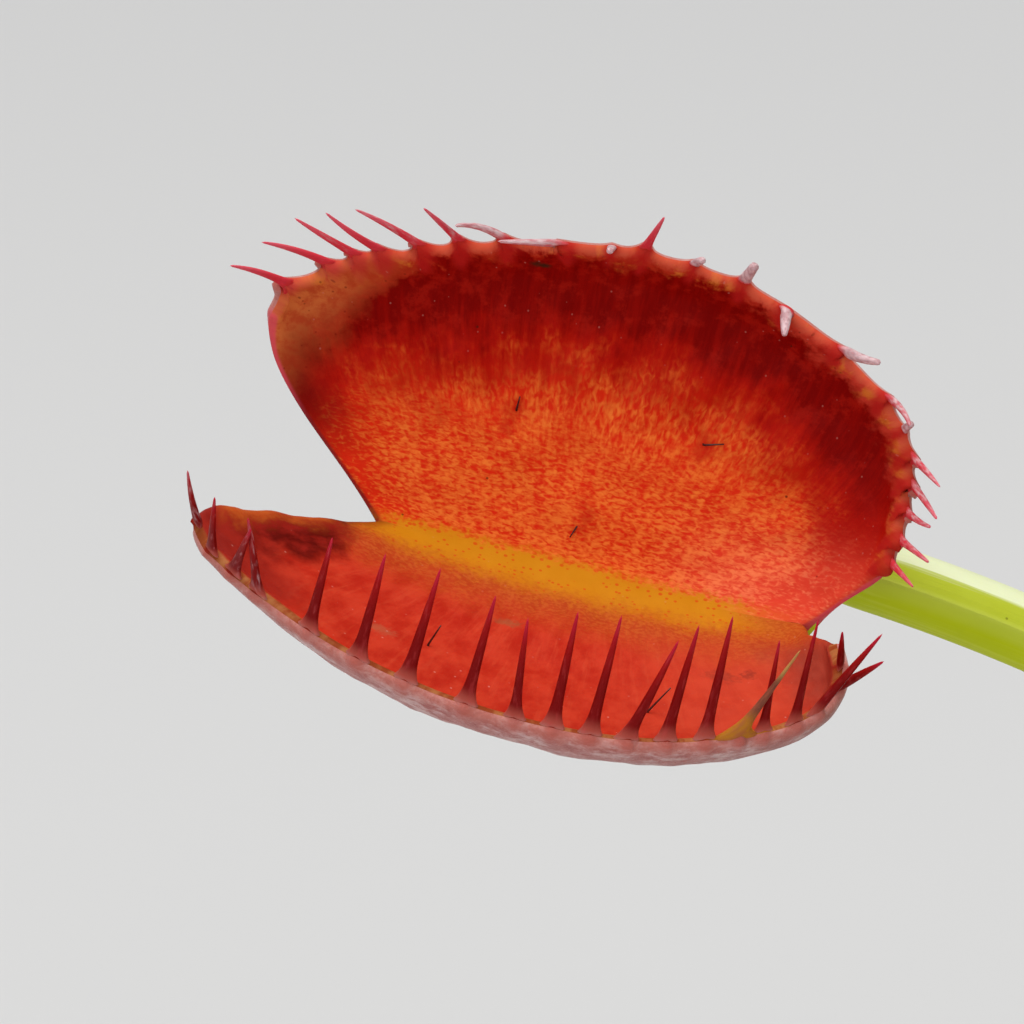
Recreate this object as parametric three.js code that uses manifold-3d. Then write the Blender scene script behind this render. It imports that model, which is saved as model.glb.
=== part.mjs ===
// A Venus flytrap in a plain plastic pot, in millimetres, +Z up.
// The origin is the middle of the pot's underside. One long leaf reaches out along -X and carries the
// largest trap. Seven more leaves and two young ones grow round it from one crown, in a pit in the soil.
import * as THREE from "three";
import { mergeVertices } from "three/addons/utils/BufferGeometryUtils.js";
import Module from "manifold-3d";

const wasm = await Module();
wasm.setup();

const { lerp, smoothstep, clamp } = THREE.MathUtils;
const DEG = Math.PI / 180;
const UP = new THREE.Vector3(0, 0, 1);

// ---------------------------------------------------------------- driving dimensions
const GAP = 0.3; // clearance between two pieces that touch on the real plant

const POT = {
  height: 76,
  baseRadius: 31,
  topRadius: 42.5,
  wall: 1.6,
  floor: 2.4,
  footChamfer: 1.5,
  rimHeight: 9,
  rimOut: 2.2,
  drainHoles: 6,
  drainRadius: 2,
  drainCircle: 23,
};

const SOIL = {
  top: 69, // height of the surface at the pot's wall
  mound: 2.2, // how much higher it is in the middle
  lump: 0.5, // height of its crumbs and hollows
};

const CROWN = { radius: 8, bottom: 57, shoulder: 69, top: 74.5 };
const LEAF_DEPTH = 5; // how deep the stalks stand in the soil
const BLADE_LIFT = 0.34; // how far the blade's margins are raised, as a share of its half width

// The outline of one flattened lobe, for a trap 30 mm long. x runs along the hinge, towards the leaf's tip.
const LOBE = {
  hingeHalf: 10,
  hingeSag: 0.8, // the hinge is bowed outwards by this much
  rim: [
    [-13.1, 4.5],
    [-12.9, 8.7],
    [-10.7, 12.6],
    [-4.9, 15.6],
    [1.3, 16.3],
    [7.7, 15.2],
    [12.6, 13.3],
    [15.8, 11.2],
    [16.7, 9.2],
  ],
  lip: 3.2, // width of the turned-in band along the rim
  endPower: 3, // how late a lobe passes from the lean of its middle to the lean of its ends
  thickness: 0.9,
  ridge: 1.1, // how far the keel stands out of the hinge, at the stalk's end
};

// How far a lobe leans away from the trap's middle plane, in degrees, in the middle and at both ends of
// the trap. Each row has the lean where the lobe leaves the hinge, where its face ends and at the edge of
// its lip. bulge is how far the smooth margins beside the hinge bow outwards, at the stalk's end and at the
// leaf's tip, and sweep is how far the rim leads towards the leaf's tip.
const EVEN = { bulge: [1.1, 1.1], sweep: 0 };
const WIDE_NEAR = {
  middle: [61, 44, -22],
  tip: [26, 26, 57],
  stalk: [20, 14, 8],
  bulge: [1.2, 1.2],
  sweep: 0.4,
};
const WIDE_FAR = {
  middle: [63, 47, 6],
  tip: [58, 43, 16],
  stalk: [45, 41, 27],
  bulge: [1, 1.5],
  sweep: -0.3,
};
const OPEN = { middle: [50, 34, -4], tip: [40, 26, 0], stalk: [40, 26, 0], ...EVEN };
const HALF_OPEN = { middle: [48, 12, -14], tip: [34, 6, -6], stalk: [34, 6, -6], ...EVEN };
const SHUT = { middle: [54, -32, -16], tip: [40, -18, -8], stalk: [40, -18, -8], ...EVEN };

const SPINE = { root: 0.4, tip: 0.15, sunk: 0.7, length: 5.2, fan: 30 };

// The long leaf's marginal spines, from the stalk's end of the rim to the leaf's tip. Each row has the
// place along the rim (-1 to 1), the length, the degrees leant over the trap and towards the leaf's tip, and
// the degrees of curl.
const NEAR_SPINES = [
  [-0.84, 2.6, 10, 5, 0],
  [-0.72, 3.4, 0, -30, 0],
  [-0.64, 5.0, 35, -26, 8],
  [-0.58, 5.2, 38, 0, 0],
  [-0.5, 4.8, 35, 2, 0],
  [-0.43, 6.2, 44, -18, 16],
  [-0.36, 6.0, 44, 0, 0],
  [-0.27, 5.7, 44, -3, 0],
  [-0.18, 5.2, 40, -15, 6],
  [-0.1, 5.7, 44, -2, 0],
  [-0.015, 5.5, 44, 0, 0],
  [0.07, 5.0, 36, 4, 0],
  [0.185, 5.4, 40, -3, 0],
  [0.33, 5.4, 40, -5, 8],
  [0.45, 5.2, 34, -3, 8],
  [0.58, 5.0, 28, -3, 6],
  [0.76, 4.8, 22, 18, 0],
  [0.84, 4.0, 5, 0, 0],
  [0.91, 4.2, 10, 6, 0],
  [0.98, 4.2, 4, 16, 8],
];
const FAR_SPINES = [
  [-0.95, 3.0, 42, -26, 0],
  [-0.9, 3.4, 38, -29, 0],
  [-0.84, 2.6, 38, -20, -30],
  [-0.77, 3.6, 46, -22, 0],
  [-0.71, 3.6, 42, -24, 0],
  [-0.65, 1.0, 0, -20, 0],
  [-0.55, 2.4, 30, -45, 30],
  [-0.42, 2.2, 50, -44, -20],
  [-0.27, 1.8, 63, -7, 0],
  [-0.15, 1.8, -4, -11, 0],
  [-0.03, 1.8, 10, -21, 0],
  [0.08, 3.0, -8, -9, 0],
  [0.15, 1.6, 25, 0, 0],
  [0.26, 3.4, 54, 66, 0],
  [0.4, 3.4, 17, 44, 30],
  [0.49, 4.0, 6, 28, 0],
  [0.58, 4.7, 8, 43, 0],
  [0.66, 4.6, 8, 37, 0],
  [0.73, 4.7, 8, 41, 0],
  [0.8, 4.7, 14, 43, 6],
  [0.91, 4.7, 15, 36, 6],
];

// Where a stalk meets its trap, in the trap's own axes: along the hinge, towards the near lobe and out of
// the mouth.
const PLAIN_JOINT = { at: [-LOBE.hingeHalf - 3 * GAP, 0, -1.3], heading: [1, 0, 0] };

// Each leaf: where it grows round the crown, its stalk's length, its slope where it leaves the crown and
// where it ends, how far it bends sideways, the half width of its blade and where along the stalk the blade
// ends. Then its joint, and its trap: size against the long leaf's trap, turn, pitch and roll of the hinge,
// and how far it stands open. The long leaf's neck runs on by these lengths outwards, sideways and up.
// Lengths in millimetres, angles in degrees.
const LEAVES = [
  {
    name: "1", azimuth: 180, length: 70, rise: [70, 20], bend: 0,
    blade: 4.6, bladeEnd: 0.68, neck: [2.5, 3.6, 0],
    joint: { at: [-9.9, -0.95, -0.8], heading: [0.25, 0.7, 0.65] },
    trap: { size: 1, turn: -9.7, pitch: 10.4, roll: 35.7, near: WIDE_NEAR, far: WIDE_FAR },
  },
  {
    name: "2", azimuth: 317.5, length: 55, rise: [78, 12], bend: 6,
    blade: 5.4, bladeEnd: 0.86, joint: PLAIN_JOINT,
    trap: { size: 0.86, turn: 4, pitch: 14, roll: 12, near: OPEN, far: OPEN },
  },
  {
    name: "3", azimuth: 95, length: 56, rise: [80, 16], bend: -8,
    blade: 5.2, bladeEnd: 0.86, joint: PLAIN_JOINT,
    trap: { size: 0.8, turn: -6, pitch: 20, roll: -16, near: OPEN, far: OPEN },
  },
  {
    name: "4", azimuth: 232.5, length: 40, rise: [72, -6], bend: 8,
    blade: 5.6, bladeEnd: 0.86, joint: PLAIN_JOINT,
    trap: { size: 0.72, turn: 5, pitch: -2, roll: 14, near: HALF_OPEN, far: HALF_OPEN },
  },
  {
    name: "5", azimuth: 10, length: 59, rise: [80, 22], bend: 5,
    blade: 5.0, bladeEnd: 0.86, joint: PLAIN_JOINT,
    trap: { size: 0.84, turn: 8, pitch: 24, roll: -10, near: OPEN, far: OPEN },
  },
  {
    name: "6", azimuth: 144, length: 29, rise: [66, 0], bend: 6,
    blade: 5.2, bladeEnd: 0.86, joint: PLAIN_JOINT,
    trap: { size: 0.56, turn: 6, pitch: 6, roll: 10, near: SHUT, far: SHUT },
  },
  {
    name: "7", azimuth: 284, length: 44, rise: [70, 0], bend: -14,
    blade: 6.0, bladeEnd: 0.86, joint: PLAIN_JOINT,
    trap: { size: 0.76, turn: -4, pitch: 8, roll: -12, near: OPEN, far: OPEN },
  },
  {
    name: "8", azimuth: 57.5, length: 42, rise: [70, 0], bend: 6,
    blade: 5.8, bladeEnd: 0.86, joint: PLAIN_JOINT,
    trap: { size: 0.7, turn: 6, pitch: 6, roll: 12, near: HALF_OPEN, far: HALF_OPEN },
  },
];

const YOUNG_LEAVES = [
  { name: "1", azimuth: 130, from: 3.4, length: 26, rise: [86, 74], bend: 10, blade: 1.9, size: 0.3 },
  { name: "2", azimuth: 335, from: 3.6, length: 18, rise: [86, 66], bend: -12, blade: 1.7, size: 0.24 },
];

// Steps along and across the faceted lobes, and spines on each lobe, for each kind of trap.
const FINE = { along: 16, across: 8 };
const PLAIN = { along: 9, across: 5, spines: 10 };
const SMALL = { along: 5, across: 3, spines: 4 };
const STALK_STEPS = 12;
const LONG_STALK_STEPS = 18;
const YOUNG_STALK_STEPS = 6;

// ---------------------------------------------------------------- helpers for closed meshes
// A small seeded generator, so that every build draws the same numbers.
function seeded(seed) {
  let state = seed;
  return () => {
    state = (state * 1664525 + 1013904223) % 4294967296;
    return state / 4294967296;
  };
}

// An indexed geometry from points and triangles, with its faces turned outwards.
function closedGeometry(points, triangles) {
  const volume = triangles.reduce((sum, [a, b, c]) => {
    return sum + points[a].dot(new THREE.Vector3().crossVectors(points[b], points[c]));
  }, 0);
  const index = triangles.flatMap(([a, b, c]) => (volume < 0 ? [a, c, b] : [a, b, c]));
  return new THREE.BufferGeometry().setFromPoints(points).setIndex(index);
}

function solid(geometry) {
  const plain = geometry.clone();
  plain.deleteAttribute("normal");
  plain.deleteAttribute("uv");
  const merged = mergeVertices(plain, 1e-4);
  return new wasm.Manifold(
    new wasm.Mesh({
      numProp: 3,
      vertProperties: merged.attributes.position.array,
      triVerts: new Uint32Array(merged.index.array),
    }),
  );
}

function geometryOf(manifold) {
  const mesh = manifold.getMesh();
  return new THREE.BufferGeometry()
    .setAttribute("position", new THREE.BufferAttribute(mesh.vertProperties, 3))
    .setIndex(new THREE.BufferAttribute(mesh.triVerts, 1));
}

function joined(geometries) {
  return geometries.map(solid).reduce((all, next) => all.add(next));
}

// A profile of [radius, height] turned about the Z axis.
function turned(profile, around) {
  const points = profile.map(([radius, height]) => new THREE.Vector2(radius, height));
  return new THREE.LatheGeometry(points, around).rotateX(Math.PI / 2);
}

// A closed tube through rings of equally many points.
function loft(rings) {
  const sides = rings[0].length;
  const triangles = [];
  for (let r = 0; r + 1 < rings.length; r++) {
    for (let i = 0; i < sides; i++) {
      const a = r * sides + i;
      const b = r * sides + ((i + 1) % sides);
      triangles.push([a, b, b + sides], [a, b + sides, a + sides]);
    }
  }
  const last = (rings.length - 1) * sides;
  for (let i = 1; i + 1 < sides; i++) {
    triangles.push([0, i + 1, i], [last, last + i, last + i + 1]);
  }
  return closedGeometry(rings.flat(), triangles);
}

// A closed sheet between two grids of points, each split into triangles alike.
function thickSheet(front, back) {
  const rows = front.length;
  const columns = front[0].length;
  const behind = rows * columns;
  const at = (i, j) => i * columns + j;
  const triangles = [];
  for (let i = 0; i + 1 < rows; i++) {
    for (let j = 0; j + 1 < columns; j++) {
      const [a, b, c, d] = [at(i, j), at(i + 1, j), at(i + 1, j + 1), at(i, j + 1)];
      triangles.push([a, b, c], [a, c, d]);
      triangles.push([behind + a, behind + c, behind + b], [behind + a, behind + d, behind + c]);
    }
  }
  const edge = [];
  for (let i = 0; i < rows; i++) edge.push(at(i, 0));
  for (let j = 1; j < columns; j++) edge.push(at(rows - 1, j));
  for (let i = rows - 2; i >= 0; i--) edge.push(at(i, columns - 1));
  for (let j = columns - 2; j > 0; j--) edge.push(at(0, j));
  edge.forEach((a, k) => {
    const b = edge[(k + 1) % edge.length];
    triangles.push([b, a, behind + a], [b, behind + a, behind + b]);
  });
  return closedGeometry([...front.flat(), ...back.flat()], triangles);
}

// ---------------------------------------------------------------- trap
const rimCurve = new THREE.SplineCurve(LOBE.rim.map(([x, s]) => new THREE.Vector2(x, s)));

// The points of one line of a lobe, from the hinge to the rim. side is 1 for the near lobe and -1 for the
// far one; along runs from -1 at the stalk's end to 1 at the leaf's tip.
function lobeLine(lobe, side, along, steps, size) {
  const parts = 4; // finer steps in between, for the same curve at any resolution
  const end = along < 0 ? lobe.stalk : lobe.tip;
  const toEnd = Math.abs(along) ** LOBE.endPower;
  const [hingeLean, faceLean, lipLean] = lobe.middle.map((lean, k) => lerp(lean, end[k], toEnd));
  const bulge = lerp(...lobe.bulge, (along + 1) / 2);
  const hinge = along * LOBE.hingeHalf;
  const rim = rimCurve.getPointAt((along + 1) / 2);
  const lipStart = 1 - LOBE.lip / Math.hypot(rim.x - hinge, rim.y);
  const step = rim.y / (steps * parts);
  const points = [];
  let y = 0;
  let z = -LOBE.hingeSag * (1 - along * along);
  for (let k = 0; k <= steps * parts; k++) {
    const t = k / (steps * parts);
    if (k % parts === 0) {
      const x = lerp(hinge, rim.x, t + bulge * t * t * (1 - t)) + lobe.sweep * t;
      points.push(new THREE.Vector3(x, side * y, z).multiplyScalar(size));
    }
    const middle = t + 0.5 / (steps * parts);
    const face = lerp(hingeLean, faceLean, middle);
    const lean = lerp(face, lipLean, smoothstep(middle, lipStart, 1)) * DEG;
    y += Math.sin(lean) * step;
    z += Math.cos(lean) * step;
  }
  return points;
}

// Both lobes as one grid, from the near rim over the hinge to the far rim.
function trapGrid(trap, detail) {
  return Array.from({ length: detail.along + 1 }, (_, i) => {
    const along = (2 * i) / detail.along - 1;
    const near = lobeLine(trap.near, 1, along, detail.across, trap.size);
    const far = lobeLine(trap.far, -1, along, detail.across, trap.size);
    return [...near.reverse(), ...far.slice(1)];
  });
}

// Surface normals of a grid, pointing into the trap.
function gridNormals(grid) {
  const rows = grid.length;
  const columns = grid[0].length;
  return grid.map((row, i) =>
    row.map((_, j) => {
      const alongStep = grid[Math.min(i + 1, rows - 1)][j].clone().sub(grid[Math.max(i - 1, 0)][j]);
      const acrossStep = grid[i][Math.min(j + 1, columns - 1)].clone().sub(grid[i][Math.max(j - 1, 0)]);
      return acrossStep.cross(alongStep).normalize();
    }),
  );
}

// A tapered spine of three sides. It starts inside the rim, leaves it at the root and curls over the trap.
function spineGeometry(root, outward, direction, over, length, size, curl) {
  const bends = curl === 0 ? 1 : 2;
  const turnAxis = new THREE.Vector3().crossVectors(direction, over).normalize();
  const heading = direction.clone();
  const centre = root.clone();
  const inside = root.clone().addScaledVector(outward, -SPINE.sunk * size);
  const rings = [spineRing(inside, outward, turnAxis, size, 0)];
  for (let k = 0; k <= bends; k++) {
    rings.push(spineRing(centre, heading, turnAxis, size, k / bends));
    heading.applyAxisAngle(turnAxis, (curl * DEG) / bends);
    centre.addScaledVector(heading, length / bends);
  }
  return loft(rings);
}

function spineRing(centre, heading, turnAxis, size, share) {
  const radius = Math.max(lerp(SPINE.root, SPINE.tip, share) * size, SPINE.tip);
  const side = new THREE.Vector3().crossVectors(heading, turnAxis).normalize();
  return [90, 210, 330].map((turn) =>
    centre
      .clone()
      .addScaledVector(turnAxis, radius * Math.cos(turn * DEG))
      .addScaledVector(side, radius * Math.sin(turn * DEG)),
  );
}

// One lobe's row of spines. Each row of the list is [place along the rim, length, lean over the trap, lean
// towards the leaf's tip, curl].
function spineRow(lobe, side, size, rows) {
  return rows.map(([along, length, over, forward, curl]) => {
    const line = lobeLine(lobe, side, along, PLAIN.across, size);
    const root = line.at(-1);
    const outward = root.clone().sub(line.at(-2)).normalize();
    const inward = new THREE.Vector3(0, -side, 0);
    const direction = new THREE.Vector3(
      Math.sin(forward * DEG),
      -side * Math.sin(over * DEG) * Math.cos(forward * DEG),
      Math.cos(over * DEG) * Math.cos(forward * DEG),
    );
    return spineGeometry(root, outward, direction, inward, length * size, size, curl);
  });
}

// An even row of spines in line with the lip, with a little seeded variation, fanned out towards both ends.
function evenRow(lobe, count, random) {
  return Array.from({ length: count }, (_, n) => {
    const along = 0.96 * ((2 * n) / (count - 1) - 1);
    const end = along < 0 ? lobe.stalk : lobe.tip;
    const lip = lerp(lobe.middle[2], end[2], Math.abs(along) ** LOBE.endPower);
    const length = SPINE.length * (1 - 0.4 * Math.abs(along) ** 3) * (0.9 + 0.2 * random());
    return [along, length, 10 * random() - lip, SPINE.fan * along, 0];
  });
}

// Both lobes, with a keel along the outside of the hinge, and the spines, fused into one piece. Its origin is
// the middle of the hinge.
function trapSolid(trap, detail, nearSpines, farSpines) {
  const grid = trapGrid(trap, detail);
  const normals = gridNormals(grid);
  const half = Math.max((LOBE.thickness * trap.size) / 2, 0.32);
  const offset = (distance) =>
    grid.map((row, i) => row.map((point, j) => point.clone().addScaledVector(normals[i][j], distance(i, j))));
  const ridge = (i, j) => (j === detail.across ? lerp(LOBE.ridge, 0, i / detail.along) * trap.size : 0);
  return joined([
    thickSheet(
      offset(() => half),
      offset((i, j) => -half - ridge(i, j)),
    ),
    ...spineRow(trap.near, 1, trap.size, nearSpines),
    ...spineRow(trap.far, -1, trap.size, farSpines),
  ]);
}

// ---------------------------------------------------------------- stalk
// Directions of a trap's own axes: along the hinge, and up out of its mouth.
function trapAxes(leaf) {
  const { turn, pitch, roll } = leaf.trap;
  const heading = (leaf.azimuth + leaf.bend + turn) * DEG;
  const forward = new THREE.Vector3(
    Math.cos(heading) * Math.cos(pitch * DEG),
    Math.sin(heading) * Math.cos(pitch * DEG),
    Math.sin(pitch * DEG),
  );
  const left = new THREE.Vector3().crossVectors(UP, forward).normalize();
  const mouth = new THREE.Vector3().crossVectors(forward, left).applyAxisAngle(forward, -roll * DEG);
  return { forward, mouth, across: new THREE.Vector3().crossVectors(mouth, forward) };
}

// The stalk's centre line: an arc that rises from the crown and flattens out, then a short neck that turns
// into the trap. Returns its points, each with heading, sideways direction and share of the whole length.
function stalkLine(leaf, axes) {
  const azimuth = leaf.azimuth * DEG;
  const outward = new THREE.Vector3(Math.cos(azimuth), Math.sin(azimuth), 0);
  const sideways = new THREE.Vector3().crossVectors(UP, outward);
  const steps = 40;
  const point = outward.clone().multiplyScalar(leaf.from).addScaledVector(UP, leaf.foot);
  const points = [point.clone()];
  const heading = new THREE.Vector3();
  for (let k = 0; k < steps; k++) {
    const t = (k + 0.5) / steps;
    const rise = lerp(leaf.rise[0], leaf.rise[1], t) * DEG;
    const yaw = leaf.bend * t * DEG;
    heading
      .copy(outward)
      .multiplyScalar(Math.cos(yaw))
      .addScaledVector(sideways, Math.sin(yaw))
      .multiplyScalar(Math.cos(rise))
      .addScaledVector(UP, Math.sin(rise));
    point.addScaledVector(heading, leaf.length / steps);
    points.push(point.clone());
  }
  const into = inAxes(axes, leaf.joint.heading).normalize();
  const end = leaf.neck
    ? point.clone().addScaledVector(outward, leaf.neck[0]).addScaledVector(sideways, leaf.neck[1])
    : point.clone().addScaledVector(heading.clone().add(into).normalize(), 4 * leaf.trap.size);
  end.addScaledVector(UP, leaf.neck ? leaf.neck[2] : 0);
  const pull = 0.45 * end.distanceTo(point);
  const neck = new THREE.CubicBezierCurve3(
    point.clone(),
    point.clone().addScaledVector(heading, pull),
    end.clone().addScaledVector(into, -pull),
    end,
  );
  return framed([...points, ...neck.getPoints(leaf.neck ? 14 : 6).slice(1)], sideways);
}

function inAxes({ forward, across, mouth }, [x, y, z]) {
  return forward.clone().multiplyScalar(x).addScaledVector(across, y).addScaledVector(mouth, z);
}

// Carries a sideways direction along a line of points without twisting it.
function framed(points, sideways) {
  const across = sideways.clone();
  let length = 0;
  const line = points.map((point, k) => {
    const before = points[Math.max(k - 1, 0)];
    const heading = points[Math.min(k + 1, points.length - 1)].clone().sub(before).normalize();
    across.addScaledVector(heading, -across.dot(heading)).normalize();
    length += point.distanceTo(before);
    return { point, heading, across: across.clone(), share: length };
  });
  for (const place of line) place.share /= length;
  return line;
}

// How far the stalk has widened into a blade at a share of the way from the crown to the trap.
function bladeSwell(leaf, share) {
  return Math.sin(Math.PI * clamp(share / leaf.bladeEnd, 0, 1));
}

function neckTaper(leaf, share) {
  return lerp(1, leaf.neckShare, smoothstep(share, leaf.taperFrom, 1));
}

// The stalk's section at one place: a shallow channel on top, and a rib beneath that dies out into wings.
function stalkRing(leaf, share, centre, across, over, grow) {
  const swell = bladeSwell(leaf, share);
  const taper = neckTaper(leaf, share);
  const half = lerp(lerp(leaf.footHalf, leaf.stalkHalf, share), leaf.blade, swell ** 1.4) * taper;
  const rib = leaf.rib * taper;
  const wing = 0.8 * taper;
  const underside = (x) => wing + (rib - wing) * Math.exp(-((x / (1.7 * taper)) ** 2));
  const margin = BLADE_LIFT * half * swell;
  const section = [[-half, margin], [0, 0], [half, margin]];
  for (const place of [1, 0.5, 0, -0.5, -1]) {
    section.push([place * half, margin * Math.abs(place) ** 1.4 - underside(place * half)]);
  }
  return section.map(([x, z]) => {
    const away = new THREE.Vector2(x, z + rib / 2);
    away.setLength(away.length() + grow);
    return centre.clone().addScaledVector(across, away.x).addScaledVector(over, away.y);
  });
}

// The stalk as rings along its line. grow widens it all round, for the hole that it stands in.
function stalkRings(leaf, line, steps, grow) {
  return Array.from({ length: steps + 1 }, (_, k) => {
    const { point, heading, across, share } = line[Math.round((k / steps) * (line.length - 1))];
    const over = new THREE.Vector3().crossVectors(heading, across);
    return stalkRing(leaf, share, point, across, over, grow);
  });
}

// The hole that a stalk stands in: its lowest part, widened all round and run on downwards.
function stalkHole(leaf, line, reach) {
  const steps = Math.round(leaf.length / 4); // rings about 4 mm apart
  const rings = stalkRings(leaf, line, steps, 2.2 * GAP).slice(0, reach);
  const down = rings[0][0].clone().sub(rings[1][0]).normalize();
  const below = rings[0].map((point) => point.clone().addScaledVector(down, 2 * GAP));
  return loft([below, ...rings]);
}

// ---------------------------------------------------------------- pot, soil and crown
function potSolid() {
  const { height, baseRadius, topRadius, wall, floor, footChamfer, rimHeight, rimOut } = POT;
  const rimBottom = height - rimHeight;
  const outerAt = (z) => lerp(baseRadius, topRadius, z / height);
  const profile = [
    [0, 0],
    [baseRadius - footChamfer, 0],
    [outerAt(footChamfer), footChamfer],
    [outerAt(rimBottom), rimBottom],
    [outerAt(rimBottom) + rimOut, rimBottom + 0.8],
    [topRadius + rimOut, height - 0.8],
    [topRadius + rimOut - 0.8, height],
    [topRadius - wall + 0.6, height],
    [outerAt(height - 1.2) - wall, height - 1.2],
    [outerAt(floor) - wall, floor],
    [0, floor],
  ];
  let pot = solid(turned(profile, 40));
  for (let n = 0; n < POT.drainHoles; n++) {
    const turn = ((n + 0.5) * 2 * Math.PI) / POT.drainHoles;
    const hole = new THREE.CylinderGeometry(POT.drainRadius, POT.drainRadius, 3 * floor, 10)
      .rotateX(Math.PI / 2)
      .translate(POT.drainCircle * Math.cos(turn), POT.drainCircle * Math.sin(turn), floor / 2);
    pot = pot.subtract(solid(hole));
  }
  return pot;
}

// Height of the soil's surface, with crumbs and hollows from a sum of waves.
function soilHeight(x, y) {
  const reach = potInside(SOIL.top);
  const mound = SOIL.mound * (1 - (x * x + y * y) / (reach * reach));
  const lumps = Math.sin(x * 0.61 + 1.3 * Math.sin(y * 0.37)) * Math.cos(y * 0.53 + 0.7 * Math.sin(x * 0.29));
  return SOIL.top + mound + SOIL.lump * lumps;
}

function potInside(z) {
  return lerp(POT.baseRadius, POT.topRadius, z / POT.height) - POT.wall - 1.5 * GAP;
}

function soilSolid(holes) {
  const around = 32;
  const ringShares = [0.2, 0.36, 0.52, 0.68, 0.84, 1];
  const bottom = POT.floor + GAP;
  const rings = [];
  const ring = (radius, height) =>
    Array.from({ length: around }, (_, i) => {
      const turn = (2 * Math.PI * i) / around;
      const [x, y] = [radius * Math.cos(turn), radius * Math.sin(turn)];
      return new THREE.Vector3(x, y, height(x, y));
    });
  rings.push(ring(potInside(bottom), () => bottom));
  const wallTop = potInside(SOIL.top - SOIL.lump);
  for (const share of ringShares.toReversed()) rings.push(ring(share * wallTop, soilHeight));
  let soil = solid(loft(rings));
  const pit = new THREE.CylinderGeometry(CROWN.radius + GAP, CROWN.radius + GAP, 40, 20)
    .rotateX(Math.PI / 2)
    .translate(0, 0, CROWN.bottom - GAP + 20);
  soil = soil.subtract(solid(pit));
  for (const hole of holes) soil = soil.subtract(solid(hole));
  return soil;
}

function crownSolid(holes) {
  const { radius, bottom, shoulder, top } = CROWN;
  const dome = [0, 22, 44, 66].map((angle) => [
    radius * Math.cos(angle * DEG),
    shoulder + (top - shoulder) * Math.sin(angle * DEG),
  ]);
  const profile = [[0, bottom], [radius * 0.7, bottom], [radius, bottom + 3], ...dome, [0, top]];
  let crown = solid(turned(profile, 20));
  for (const hole of holes) crown = crown.subtract(solid(hole));
  return crown;
}

// ---------------------------------------------------------------- materials
const finish = (color, roughness) => new THREE.MeshStandardMaterial({ color, roughness, metalness: 0 });
const MATERIALS = {
  pot: finish(0x3a3d3c, 0.55),
  soil: finish(0x3b2a1e, 0.95),
  crown: finish(0xd9dba4, 0.5),
  stalk: finish(0xa9bd3a, 0.4),
  trap: finish(0xd6301a, 0.4),
  young: finish(0xb4c65a, 0.4),
};

// ---------------------------------------------------------------- assembly
const plant = new THREE.Group();

function add(name, geometry, material) {
  const mesh = new THREE.Mesh(geometry, material);
  mesh.name = name;
  plant.add(mesh);
}

// Puts a trap so that its joint lies at the end of the stalk's line.
function placeTrap(geometry, axes, joint, lineEnd, size) {
  const { forward, mouth, across } = axes;
  const origin = lineEnd.clone().addScaledVector(inAxes(axes, joint.at), -size);
  return geometry.applyMatrix4(new THREE.Matrix4().makeBasis(forward, across, mouth).setPosition(origin));
}

// Both rows of spines for a trap without a list of its own.
function evenRows(trap, count, seed) {
  const random = seeded(seed);
  return [evenRow(trap.near, count, random), evenRow(trap.far, count, random)];
}

const soilHoles = [];
LEAVES.forEach((entry, order) => {
  const leaf = {
    ...entry,
    from: CROWN.radius + GAP + 1.45,
    foot: SOIL.top + SOIL.mound - LEAF_DEPTH,
    footHalf: 2.2,
    stalkHalf: 1.65 * Math.max(entry.trap.size, 0.75),
    neckShare: 0.52,
    taperFrom: order === 0 ? 0.93 : 0.88,
    rib: 2.7 * Math.max(entry.trap.size, 0.75),
  };
  const axes = trapAxes(leaf);
  const line = stalkLine(leaf, axes);
  const long = order === 0;
  const steps = long ? LONG_STALK_STEPS : STALK_STEPS;
  add("stalk_" + leaf.name, loft(stalkRings(leaf, line, steps, 0)), MATERIALS.stalk);
  soilHoles.push(stalkHole(leaf, line, 3));

  const rows = long ? [NEAR_SPINES, FAR_SPINES] : evenRows(leaf.trap, PLAIN.spines, 11 + order);
  const trap = trapSolid(leaf.trap, long ? FINE : PLAIN, ...rows);
  const placed = placeTrap(geometryOf(trap), axes, leaf.joint, line.at(-1).point, leaf.trap.size);
  add("trap_" + leaf.name, placed, MATERIALS.trap);
});

const crownHoles = [];
for (const entry of YOUNG_LEAVES) {
  const leaf = {
    ...entry,
    foot: CROWN.top - 3.4,
    joint: PLAIN_JOINT,
    bladeEnd: 0.9,
    footHalf: 1.3,
    stalkHalf: 0.9,
    neckShare: 0.8,
    taperFrom: 0.88,
    rib: 1.6,
    trap: { size: entry.size, turn: 0, pitch: entry.rise[1] - 4, roll: 0, near: SHUT, far: SHUT },
  };
  const axes = trapAxes(leaf);
  const line = stalkLine(leaf, axes);
  const bud = trapSolid(leaf.trap, SMALL, ...evenRows(leaf.trap, SMALL.spines, 71 + crownHoles.length));
  const root = line.at(-1).point.clone().addScaledVector(axes.forward, -1.5);
  const head = placeTrap(geometryOf(bud), axes, leaf.joint, root, leaf.trap.size);
  const stem = loft(stalkRings(leaf, line, YOUNG_STALK_STEPS, 0));
  add("young_leaf_" + leaf.name, geometryOf(solid(stem).add(solid(head))), MATERIALS.young);
  crownHoles.push(stalkHole(leaf, line, 3));
}

add("crown", geometryOf(crownSolid(crownHoles)), MATERIALS.crown);
add("soil", geometryOf(soilSolid(soilHoles)), MATERIALS.soil);
add("pot", geometryOf(potSolid()), MATERIALS.pot);

export default plant;
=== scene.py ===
"""The looks of a Venus flytrap in a plain plastic pot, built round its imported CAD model.

The dimensions below are in millimetres; a finished piece is in metres. They are those of the part's source, except
that the long leaf's rims and spines follow the photograph more closely. The camera looks at the long leaf's trap, as
the photograph does, and the rest of the plant stands outside the picture.
"""

import math
import random

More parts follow.
